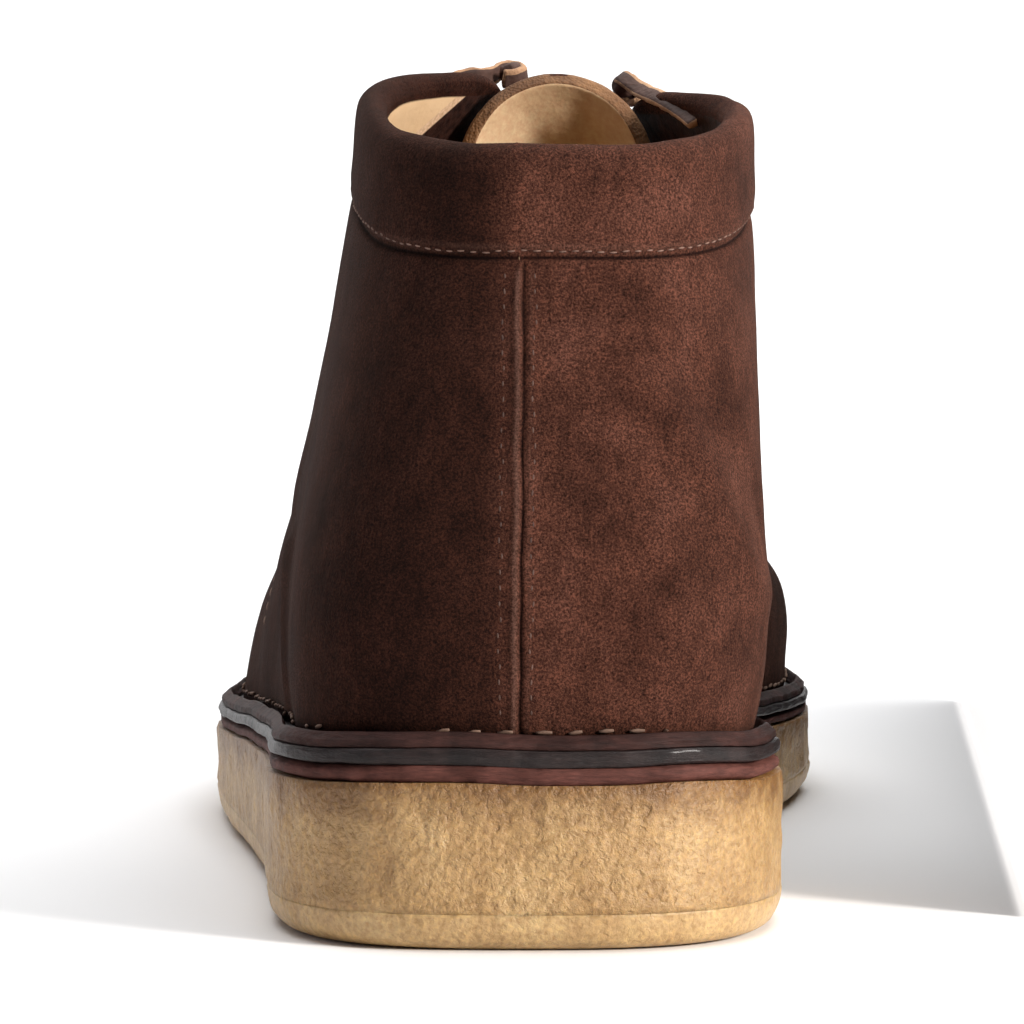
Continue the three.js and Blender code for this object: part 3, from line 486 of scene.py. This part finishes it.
def in_world(p):
    return Vector(((p[0] + HEEL_MIDDLE) * MM, HEEL_BACK + p[1] * MM, p[2] * MM))


def between(table, along):
    for (a, low), (b, high) in zip(table, table[1:]):
        if along <= b:
            return low + (high - low) * max(0.0, along - a) / (b - a)
    return table[-1][1]


# %% [markdown]
# The crepe sole is two sheets, one thick and one thin. On the real boot their edges are ground flush
# and stay lumpy, so the copies are subdivided and pushed in and out by a fraction of a millimetre.
# Both sheets take the same lumps, so the line between them stays faint.

# %% Crepe sole
WEDGE_TOP = ((0, 24.8), (45.8, 22.9), (106.8, 20.0), (167.8, 17.1),
             (207.4, 15.9), (250.1, 16.5), (305.0, 21.0))
TRIM_LENGTH = 13 * MM
TRIM_WANDER = 0.45 * MM


def lumpy(v, size_mm, depth_mm, seed):
    p = v.co / (size_mm * MM) + Vector((seed, seed * 2.3, seed * 0.7))
    return noise.noise(p) * depth_mm * MM


def sole_layer(node, name, material, drop_mm, lumps, crease=1.0, longest_mm=1.5):
    bm = copied(node)
    for v in bm.verts:
        if v.normal.z < -0.2 and drop_mm:
            v.co.z -= drop_mm * MM
    crease_corners(bm, 50, crease)
    bm = subdivided(bm, 2)
    refined(bm, lambda e: sum(abs(f.normal.z) < 0.75 for f in e.link_faces) > 0, longest_mm)
    for v in bm.verts:
        near_deck = min(1.0, max(0.0, 1 - (between(WEDGE_TOP, heel_frame(v.co).y) - heel_frame(v.co).z) / 6))
        v.co.z += near_deck * noise.noise(Vector((v.co.x, v.co.y, 0)) / TRIM_LENGTH) * TRIM_WANDER
    bm.normal_update()
    for size_mm, depth_mm, seed in lumps:
        pushed(bm, lambda v: lumpy(v, size_mm, depth_mm, seed) * (1 - abs(v.normal.z)))
        bm.normal_update()
    depth = bm.verts.layers.float.new("from_top")
    for v in bm.verts:
        p = heel_frame(v.co)
        v[depth] = between(WEDGE_TOP, p.y) - p.z
    piece = as_piece(bm, name, [material], node)
    print(name, "faces", len(piece.data.polygons))
    return piece


CREPE_LUMPS = ((9, 0.40, 2.0), (3.2, 0.30, 5.0))
sole_layer("crepe_outsole", "crepe_sheet", crepe_base, 0, CREPE_LUMPS, 1.0, 2.0)
sole_layer("crepe_wedge", "crepe_wedge_side", crepe_side, 0.285, CREPE_LUMPS, 1.0, 1.3)

# %% [markdown]
# The two thin leather layers and the welt above them are stitched and cemented together,
# then trimmed by hand, so no edge is quite straight.

# %% Thin layers
BROWN_LUMPS = ((7, 0.30, 7.0), (1.8, 0.26, 3.0))
BLACK_LUMPS = ((8, 0.35, 8.0), (1.9, 0.26, 4.0))
WELT_LUMPS = ((6, 0.50, 9.0), (1.7, 0.34, 6.0))
sole_layer("midsole_brown", "brown_layer", brown_edge, 0.26, BROWN_LUMPS, 0.85)
sole_layer("midsole_black", "black_layer", black_edge, 0.26, BLACK_LUMPS, 0.7)
sole_layer("welt", "welt_strip", welt_leather, 0.26, WELT_LUMPS, 0.55)
sole_layer("insole", "footbed", lining, 0, ((20, 0.2, 3.0),), 0.4, 6.0)

# %% [markdown]
# The upper is one shell: suede outside, tan leather lining inside, and a dark facing inside the lacing edges,
# which runs further back on the inner side as painted shade.
# Two measures tell every point where it is: how far below the rim, and how far inside the facing.

# %% Measures of the collar
OUTER_RIM = ((-1.1, 13.1, 118.0), (-9.5, 16.2, 118.0), (-18.6, 25.3, 120.0), (-23.7, 45.1, 125.5),
             (-22.6, 66.5, 129.8), (-15.9, 83.0, 132.2), (-5.0, 95.0, 133.5))
INNER_RIM = ((-1.1, 13.1, 118.0), (16.2, 16.2, 118.0), (26.7, 25.3, 119.7), (32.9, 45.1, 124.1),
             (32.5, 66.5, 127.1), (27.7, 83.0, 129.0), (19.0, 95.0, 130.3))
OUTER_FACING_STARTS = 74.0
# On the inner side the dark facing runs further back, as painted shade inside the quarter.
INNER_FACING_AND_SHADE_STARTS = 40.0
OUTER_FACING = ((-7.9, 131.7), (0.678, -0.735))
INNER_FACING = ((20.5, 130.5), (-0.42, -0.907))


def rounded_line(points, steps):
    corners = [Vector(p) for p in points]
    corners = [corners[0] * 2 - corners[1]] + corners + [corners[-1] * 2 - corners[-2]]
    line = []
    for a, b, c, d in zip(corners, corners[1:], corners[2:], corners[3:]):
        for k in range(steps):
            t = k / steps
            line.append(0.5 * (2 * b + (c - a) * t + (2 * a - 5 * b + 4 * c - d) * t * t
                               + (3 * b - a - 3 * c + d) * t ** 3))
    return line + [corners[-2]]


def nearby(points):
    tree = KDTree(len(points))
    for i, p in enumerate(points):
        tree.insert(p, i)
    tree.balance()
    return tree


rim_tree = nearby(rounded_line(OUTER_RIM, 24) + rounded_line(INNER_RIM, 24))


def below_rim(p):
    return rim_tree.find(p)[2]


def inside_facing(p):
    (x, z), (nx, nz) = OUTER_FACING if p.x < 5 else INNER_FACING
    starts = OUTER_FACING_STARTS if p.x < 5 else INNER_FACING_AND_SHADE_STARTS
    return min((p.x - x) * nx + (p.z - z) * nz, p.y - starts)


def foot_middle(p):
    along = min(max(p.y, 48.0), 250.0)
    low = 32.0 + max(0.0, 95.0 - along) * 1.2
    return Vector((3.0, along, p.z if along < 80 else min(p.z, max(low, 34.0))))


def is_inside(point, normal):
    p = heel_frame(point)
    return (p - foot_middle(p)).dot(normal) < 0


# %% [markdown]
# The solid already has the collar band, a step of 0.8 mm, and the front edge of the quarters, another step.
# Their edges are kept sharp and remembered, since stitches follow them later.
# The seam at the back is moulded anew here, so the plain ridge of the solid is pressed flat first.

# %% Upper, first shape
SEAM_TOP = (-0.5, 105.0)
SEAM_FOOT = (-1.3, 31.0)
BAND_DEPTH = 15.6
BAND_END = 112
FOOT_MIDDLE = 5


def seam_x(z):
    t = (z - SEAM_FOOT[1]) / (SEAM_TOP[1] - SEAM_FOOT[1])
    return SEAM_FOOT[0] + (SEAM_TOP[0] - SEAM_FOOT[0]) * t


upper = copied("upper")
upper.normal_update()
crease = upper.edges.layers.float.new("crease_edge")
band_edge, quarter_edge = [], []
for e in upper.edges:
    if len(e.link_faces) != 2:
        continue
    bend = math.degrees(e.calc_face_angle(0))
    middle = (e.verts[0].co + e.verts[1].co) / 2
    p = heel_frame(middle)
    depth = below_rim(p)
    climb = abs(e.verts[0].co.z - e.verts[1].co.z)
    outside = not is_inside(middle, e.link_faces[0].normal + e.link_faces[1].normal)
    if outside and 13 < depth < 19 and p.y < BAND_END and bend > 22:
        e[crease] = 1.0
        band_edge.append(p)
    elif outside and 108 < p.y < 150 and depth > 19 and bend > 15 and climb > 2 * MM:
        e[crease] = 1.0
        quarter_edge.append(p)
    elif bend > 60 and depth > 8:
        e[crease] = 0.7
for v in upper.verts:
    p = heel_frame(v.co)
    if p.y < 26 and abs(p.x + 1.1 * (p.z - 31) / 87) < 0.5 and below_rim(p) > 14.8 and v.normal.y < 0:
        v.co -= v.normal * 0.45 * MM
print("band edge", len(band_edge), "quarter edge", len(quarter_edge))
upper = subdivided(upper, 2)

# %% [markdown]
# Fine relief needs small faces, but only where it is: at the seam, along the band and on the rim.

# %% Upper, finer faces where they are needed
def lies_across(e):
    return abs(e.verts[0].co.z - e.verts[1].co.z) < 0.5 * e.calc_length()


def at_seam(e):
    p = heel_frame((e.verts[0].co + e.verts[1].co) / 2)
    behind = p.y < 30 and e.verts[0].normal.y < 0
    return behind and abs(p.x - seam_x(p.z)) < 4.5 and p.z < 106 and lies_across(e)


def at_band(e):
    p = heel_frame((e.verts[0].co + e.verts[1].co) / 2)
    return 12.5 < below_rim(p) < 19 and p.y < BAND_END and not lies_across(e) and not is_inside(
        e.verts[0].co, e.verts[0].normal)


def at_rim(e):
    p = heel_frame((e.verts[0].co + e.verts[1].co) / 2)
    return below_rim(p) < 9 and p.y < 98


refined(upper, at_seam, 0.4)
refined(upper, at_band, 0.45)
refined(upper, at_rim, 1.6, 2)
print("upper faces", len(upper.faces))

# %% [markdown]
# Suede is never quite even. The quarters swell softly, the counter leaves a ridge
# on the inner side of the heel, a fold runs down the outer side at the ankle,
# and the vamp breaks in shallow creases behind the ball.
# Each is a soft trough or ridge, given by two ends, a width and a height in millimetres.

# %% Soft relief of the upper
def ridge(p, a, b, width):
    a, b = Vector(a), Vector(b)
    t = (p - a).dot(b - a) / (b - a).length_squared
    near = a.lerp(b, min(max(t, 0), 1))
    return math.exp(-((p - near).length / width) ** 2)


RELIEF = (
    ((-38.0, 62.0, 56.0), (-38.5, 66.0, 30.0), 2.8, 1.2),
    ((-36.0, 74.0, 58.0), (-41.0, 78.0, 30.0), 5.0, -0.7),
    ((-32.0, 186.0, 48.0), (28.0, 196.0, 46.0), 4.5, -0.7),
    ((-30.0, 178.0, 55.0), (26.0, 186.0, 54.0), 4.0, 0.35),
    ((-26.0, 170.0, 62.0), (24.0, 177.0, 62.0), 4.5, -0.6),
    ((-36.0, 203.0, 38.0), (-12.0, 200.0, 55.0), 4.0, -0.5),
    ((-30.0, 96.0, 84.0), (-14.0, 106.0, 108.0), 7.0, -0.6),
    ((36.0, 100.0, 80.0), (22.0, 108.0, 106.0), 7.0, -0.6),
    ((-36.0, 84.0, 66.0), (-24.0, 108.0, 92.0), 7.0, 0.5),
)


def bell(distance, width):
    return math.exp(-(distance / width) ** 2)


COUNTER_LINE = ((19.0, 84.0), (24.5, 74.0), (29.5, 63.0), (34.0, 52.0), (37.0, 42.0), (37.5, 33.0))
COUNTER_TROUGH = ((24.0, 86.0), (30.0, 76.0), (35.0, 64.0))
first_surface = BVHTree.FromBMesh(upper)


def on_the_back(line):
    hits = []
    for x, z in line:
        start = in_world((x, -50, z))
        hit = first_surface.ray_cast(start, Vector((0, 1, 0)))[0]
        if hit:
            hits.append(heel_frame(hit))
    return hits


def along_line(p, line, width):
    return max((ridge(p, a, b, width) for a, b in zip(line, line[1:])), default=0.0)


counter_line = on_the_back(COUNTER_LINE)
counter_trough = on_the_back(COUNTER_TROUGH)
print("counter ridge through", len(counter_line), "points, trough", len(counter_trough))


def upper_relief(v):
    p = heel_frame(v.co)
    amount = noise.noise(v.co / 0.024) * 0.40 + noise.noise(v.co / 0.007) * 0.14
    amount += sum(ridge(p, a, b, width) * height for a, b, width, height in RELIEF)
    amount += 1.1 * along_line(p, counter_line, 3.4) - 0.7 * along_line(p, counter_trough, 5.0)
    depth = below_rim(p)
    if p.y < 32 and v.normal.y < 0 and depth > BAND_DEPTH + 0.6:
        d = p.x - seam_x(p.z) + 0.35 * noise.noise(v.co / 0.009)
        fade = min(1.0, (depth - BAND_DEPTH - 0.6) / 3.5) * (1 + 0.6 * noise.noise(v.co / 0.006))
        amount += fade * (0.40 * bell(d + 0.95, 0.75) - 0.42 * bell(d, 0.30) + 0.20 * bell(d - 1.15, 0.8))
    if p.y < BAND_END and 12 < depth < 22 and not is_inside(v.co, v.normal):
        below = depth - BAND_DEPTH
        amount += 0.06 * bell(below + 1.1, 0.9) - 0.35 * bell(below - 0.5, 0.4)
        amount -= 0.45 * bell(below + 0.6, 1.8) * min(1.0, max(0.0, (p.y - 18) / 14))
    return amount * MM


pushed(upper, upper_relief)
upper.normal_update()
rim_depth = upper.verts.layers.float.new("rim_depth")
facing_depth = upper.verts.layers.float.new("facing_depth")
# Wear with painted highlight on the band lip, rim roll and seam ridge.
wear_and_highlight = upper.verts.layers.float.new("wear_and_highlight")
# Painted shade in the band's fold line, the seam groove and beside the counter ridge.
painted_hollow_shade = upper.verts.layers.float.new("painted_hollow_shade")
for v in upper.verts:
    p = heel_frame(v.co)
    depth = below_rim(p)
    v[rim_depth] = depth
    v[facing_depth] = inside_facing(p)
    if p.y < BAND_END and not is_inside(v.co, v.normal):
        v[wear_and_highlight] = 0.45 * bell(depth - 14.6, 0.7) + 0.25 * bell(depth - 2.0, 3.0)
        v[painted_hollow_shade] = 0.9 * bell(depth - BAND_DEPTH - 0.45, 0.34)
    if p.y < 32 and v.normal.y < 0 and depth > BAND_DEPTH + 1:
        d = p.x - seam_x(p.z) + 0.35 * noise.noise(v.co / 0.009)
        starts = min(1.0, max(0.0, (depth - BAND_DEPTH - 1.4) / 1.5))
        v[wear_and_highlight] += starts * (0.9 * bell(d + 0.95, 0.55) + 0.35 * bell(d - 1.1, 0.5))
        v[painted_hollow_shade] += 0.8 * bell(d, 0.30) + 0.25 * bell(d + 2.0, 0.6)
    if p.x > 12 and p.z < 92 and not is_inside(v.co, v.normal):
        v[painted_hollow_shade] += 0.30 * along_line(p - Vector((2.2, 0, 0)), counter_line, 2.4)
for face in upper.faces:
    centre = face.calc_center_median()
    if is_inside(centre, face.normal) and (below_rim(heel_frame(centre)) > 2.8 or heel_frame(centre).y > 92):
        face.material_index = 1
upper_surface = BVHTree.FromBMesh(upper)

# %% [markdown]
# Inside, the suede turns over the rim for a few millimetres. Below it lies the tan lining,
# and along the lacing edges a dark facing whose cut edge shows pale. On the inner side the dark facing
# runs further back, as painted shade.

# %% Inside of the upper
TURNOVER = 3.6
CUT_EDGE = 0.9


def inside_of_upper():
    material, tree, shader, where = blank("boot_lining", 0.6)
    suede_colour, brushed, fibre = suede_paint(tree, where, *SUEDE_SHADES)
    cloud = grain(tree, where, 14, 3, 0.55)
    tan = ramp(tree, cloud, ((0.34, LINING_SHADES[0]), (0.66, LINING_SHADES[1])))
    pebble = grain(tree, where, 1.3, 3, 0.6)
    dark = ramp(tree, pebble, ((0.34, (0.012, 0.005, 0.004)), (0.70, (0.042, 0.018, 0.013))))
    facing_far = attribute(tree, "facing_depth")
    pale = ramp(tree, grain(tree, where, 0.7, 3, 0.7), ((0.3, (0.50, 0.31, 0.18)), (0.7, (0.78, 0.55, 0.37))))
    colour = mixed(tree, "MIX", stepped(tree, facing_far, -CUT_EDGE, -CUT_EDGE + 0.15), tan, pale)
    in_facing = stepped(tree, facing_far, -0.1, 0.1)
    colour = mixed(tree, "MIX", in_facing, colour, dark)
    below = stepped(tree, attribute(tree, "rim_depth"), TURNOVER - 0.15, TURNOVER + 0.15)
    colour = mixed(tree, "MIX", below, suede_colour, colour)
    tree.links.new(colour, shader.inputs["Base Color"])
    shine = tree.nodes.new("ShaderNodeMath")
    shine.operation = "MULTIPLY"
    tree.links.new(in_facing, shine.inputs[0])
    tree.links.new(below, shine.inputs[1])
    rough = tree.nodes.new("ShaderNodeMapRange")
    tree.links.new(shine.outputs[0], rough.inputs["Value"])
    rough.inputs["To Min"].default_value = 0.75
    rough.inputs["To Max"].default_value = 0.5
    tree.links.new(rough.outputs["Result"], shader.inputs["Roughness"])
    shader.inputs["Specular IOR Level"].default_value = 0.06
    bumped(tree, shader, ((pebble, 0.25, 0.5), (fibre, 0.12, 0.5)))
    return material


upper_piece = as_piece(upper, "suede_upper", [suede_skin, inside_of_upper()], "upper")
print("upper piece faces", len(upper_piece.data.polygons))

# %% [markdown]
# The tongue is tan leather with a dark suede face and a thick raw rim, which is what shows from behind.

# %% Tongue
tongue = copied("tongue")
print("tongue corners", crease_corners(tongue, 50, 0.55))
tongue = subdivided(tongue, 2)
TONGUE_CORE = Vector((5.0, 84.0, 104.0))


def tongue_side(face):
    p = heel_frame(face.calc_center_median())
    core = Vector((TONGUE_CORE.x, p.y - 12, TONGUE_CORE.z - max(0.0, p.y - 92) * 0.9))
    facing_out = (p - core).normalized().dot(face.normal)
    if facing_out > 0.5:
        return 1
    return 0 if facing_out < -0.5 else 2


for face in tongue.faces:
    face.material_index = tongue_side(face)
pushed(tongue, lambda v: (noise.noise(v.co / 0.012) * 0.25 + noise.noise(v.co / 0.0016) * 0.12) * MM)
as_piece(tongue, "tongue_leather", [lining, suede_skin, raw_edge], "tongue")

# %% [markdown]
# The lace is leather, dark on its face and tan at its cut edges. Past each top eyelet it is folded once
# round itself to a small hard knot. The flat end comes along the collar, turns over the knot's core
# and tucks under.

# %% Lace
KNOT_CORE = 2.1
STRAP_WIDTH = 3.2
STRAP_THICK = 1.15
STRAP_SIDES = 12
TAN_SIDES = (0, 1, 4, 5, 6, 7, 10, 11)
OUTER_END = ((-13.0, 91.5, 131.8), (-9.8, 95.0, 132.8), (-6.4, 98.8, 133.1))
INNER_END = ((27.3, 77.5, 124.6), (25.2, 83.0, 126.6), (22.0, 89.5, 128.9), (18.6, 96.0, 130.8))
TURN = ((-0.9, 1.6), (1.0, 1.6), (2.1, 0.2), (1.7, -1.6), (-0.4, -2.6), (-2.8, -2.1))


def knot_core(bm, side):
    corners = [v.co.copy() for v in bm.verts if (heel_frame(v.co).x - FOOT_MIDDLE) * side > 0]
    middle = max(corners, key=lambda c: c.z) - Vector((0, 0, KNOT_CORE * MM))
    near = [c for c in corners if (c - middle).length < 1.25 * KNOT_CORE * MM]
    return sum(near, Vector()) / len(near)


def strap(bm, path, across):
    rings = []
    for i, place in enumerate(path):
        along = (path[min(i + 1, len(path) - 1)] - path[max(i - 1, 0)]).normalized()
        wide = (across - along * across.dot(along)).normalized()
        up = wide.cross(along)
        ring = []
        for k in range(STRAP_SIDES):
            a = 2 * math.pi * (k + 0.5) / STRAP_SIDES
            flat = math.copysign(abs(math.cos(a)) ** 0.5, math.cos(a)) * STRAP_WIDTH / 2
            high = math.copysign(abs(math.sin(a)) ** 0.7, math.sin(a)) * STRAP_THICK / 2
            ring.append(bm.verts.new(place + (wide * flat + up * high) * MM))
        rings.append(ring)
    for low, high in zip(rings, rings[1:]):
        for k in range(STRAP_SIDES):
            after = (k + 1) % STRAP_SIDES
            face = bm.faces.new((low[k], low[after], high[after], high[k]))
            face.material_index = 1 if k in TAN_SIDES else 0
    for end in (rings[0][::-1], rings[-1]):
        bm.faces.new(end).material_index = 1


def wrinkle(v, coarse, coarse_mm, fine, fine_mm):
    return (noise.noise(v.co / coarse) * coarse_mm + noise.noise(v.co / fine) * fine_mm) * MM


lace = subdivided(copied("lace"), 2)
pushed(lace, lambda v: wrinkle(v, 0.0022, 0.30, 0.0009, 0.12))
folds = bmesh.new()
ENDS = ((-1, OUTER_END, Vector((-0.2, -0.5, 0.85))), (1, INNER_END, Vector((0.75, 0.35, 0.55))))
for side, end, across in ENDS:
    core = knot_core(lace, side)
    tail = [in_world(p) for p in end]
    rise = (core - tail[-1]).normalized()
    over = rise.cross((across - rise * across.dot(rise)).normalized())
    over *= math.copysign(1, over.z)
    turn = [core + (rise * along + over * out) * MM for along, out in TURN]
    strap(folds, rounded_line(tail + turn, 6), across)
bmesh.ops.recalc_face_normals(folds, faces=folds.faces)
folds.normal_update()
pushed(folds, lambda v: wrinkle(v, 0.0018, 0.25, 0.0007, 0.10))
print("folded lace ends, faces", len(folds.faces))
as_piece(lace, "leather_lace", [lace_leather], "lace")
as_piece(folds, "lace_folds", [lace_leather, lace_edge])

# %% [markdown]
# Stitches are short rounded grains of thread. Each row follows a line on the leather, found by looking
# at the surface from outside, and every stitch is one small ball drawn out along the row.

# %% Stitch helper
def even_points(points, pitch_mm):
    gaps = [(b - a).length for a, b in zip(points, points[1:])]
    total = sum(gaps)
    count = max(2, int(total / (pitch_mm * MM)))
    placed, walked, i = [], 0.0, 0
    for k in range(count):
        goal = total * (k + 0.5) / count
        while i < len(gaps) - 1 and walked + gaps[i] < goal:
            walked += gaps[i]
            i += 1
        t = (goal - walked) / gaps[i]
        placed.append((points[i].lerp(points[i + 1], t), (points[i + 1] - points[i]).normalized()))
    return placed


def stitch_row(bm, points, pitch_mm, long_mm, thick_mm, lift_mm=0.05, wander_mm=0.1, slant=0.0):
    for place, way in even_points(points, pitch_mm):
        hit, normal, _, _ = upper_surface.find_nearest(place)
        centre = hit + normal * lift_mm * MM
        side = normal.cross(way).normalized()
        way = (way + side * slant + side * random.uniform(-0.12, 0.12)).normalized()
        side = normal.cross(way).normalized()
        centre += side * random.uniform(-wander_mm, wander_mm) * MM
        turn = Matrix((way, side, normal)).transposed().to_4x4()
        size = Matrix.Diagonal((long_mm / 2 * random.uniform(0.85, 1.15), thick_mm / 2, thick_mm / 2.4, 1))
        bmesh.ops.create_uvsphere(bm, u_segments=6, v_segments=5, radius=MM,
                                  matrix=Matrix.Translation(centre) @ turn @ size)


random.seed(11)


def seen(start, way):
    hit, normal, _, _ = upper_surface.ray_cast(Vector(start), Vector(way).normalized())
    return hit


# %% [markdown]
# One row runs round the collar band, a millimetre above its lower edge, and two rows run up the back seam.
# Two more hold the front edge of each quarter to the vamp.

# %% Band, seam and quarter stitches
def spread_out(points, key, least_mm=1.2):
    kept = []
    for p in sorted(points, key=key):
        if not kept or (p - kept[-1]).length > least_mm:
            kept.append(p)
    return kept


stitches = bmesh.new()
seam_rows = bmesh.new()
STITCH_DEPTH = 14.9
STITCHED_TO = 88.0


def down_from_rim(p):
    away = Vector((p.x - 4.0, p.y - 55.0, 0)).normalized()
    return seen(in_world(p + away * 60 - Vector((0, 0, STITCH_DEPTH))), -away)


outer_line = [down_from_rim(p) for p in rounded_line(OUTER_RIM, 12) if p.y < STITCHED_TO]
inner_line = [down_from_rim(p) for p in rounded_line(INNER_RIM, 12)[1:] if p.y < STITCHED_TO]
band_line = [p for p in outer_line[::-1] + inner_line if p]
stitch_row(stitches, band_line, 1.9, 1.2, 0.36, 0.0, 0.16)
print("band stitches follow", len(band_line), "points")
for offset in (-3.1, 1.6):
    column = []
    for step in range(0, 60):
        z = 34.0 + (100.5 - 34.0) * step / 59
        hit = seen(in_world(Vector((seam_x(z) + offset, -50.0, z))), (0, 1, 0))
        if hit:
            column.append(hit)
    stitch_row(seam_rows, column, 2.3, 0.9, 0.30, -0.03, 0.26)
for side in (-1, 1):
    upright = [p for p in quarter_edge if (p.x - FOOT_MIDDLE) * side > 0 and 34 < p.z < 72]
    middle_y = sorted(p.y for p in upright)[len(upright) // 2]
    upright = [p for p in upright if abs(p.y - middle_y) < 8]
    edge_line = spread_out(upright, lambda p: p.z, 3.0)
    print("quarter edge", side, "at y", round(middle_y), "points", len(edge_line))
    for back in (1.6, 3.6):
        line = [in_world(p + Vector((0, -back, 0))) for p in edge_line]
        if len(line) > 2:
            stitch_row(stitches, line, 2.4, 1.5, 0.42, 0.0, 0.08)
as_piece(stitches, "band_stitches", [thread])
as_piece(seam_rows, "seam_stitches", [dark_thread])

# %% [markdown]
# The welt is sewn down with heavy thread. Its stitches sit in the corner between upper and welt,
# each a little slanted, so the line looks scalloped.

# %% Welt stitches
DECK = ((0, 30.2), (45, 28.2), (107, 24.6), (168, 21.4), (207, 20.1), (250, 20.7), (305, 25.3))
WELT_TOP = 2.3


def welt_hit(along, away):
    z = between(DECK, along) + WELT_TOP
    hit = None
    for _ in range(3):
        start = in_world(Vector((0, along, z))) + away * 0.15
        hit = seen(start, -away)
        if hit:
            z = between(DECK, heel_frame(hit).y) + WELT_TOP
    return hit


welt_line = []
for degrees in range(0, 360, 2):
    angle = math.radians(degrees)
    reach = 115.0 if abs(math.cos(angle)) > 0.35 else 118.0
    slope = 0.9 if abs(math.cos(angle)) > 0.8 else 0.25
    away = Vector((math.sin(angle), -math.cos(angle) * slope, 0)).normalized()
    hit = welt_hit(152.5 - reach * math.cos(angle), away)
    if hit:
        welt_line.append(hit)
welt_stitches = bmesh.new()
stitch_row(welt_stitches, welt_line, 4.6, 2.8, 0.7, 0.30, 0.25, 0.12)
as_piece(welt_stitches, "welt_stitches", [pale_thread])
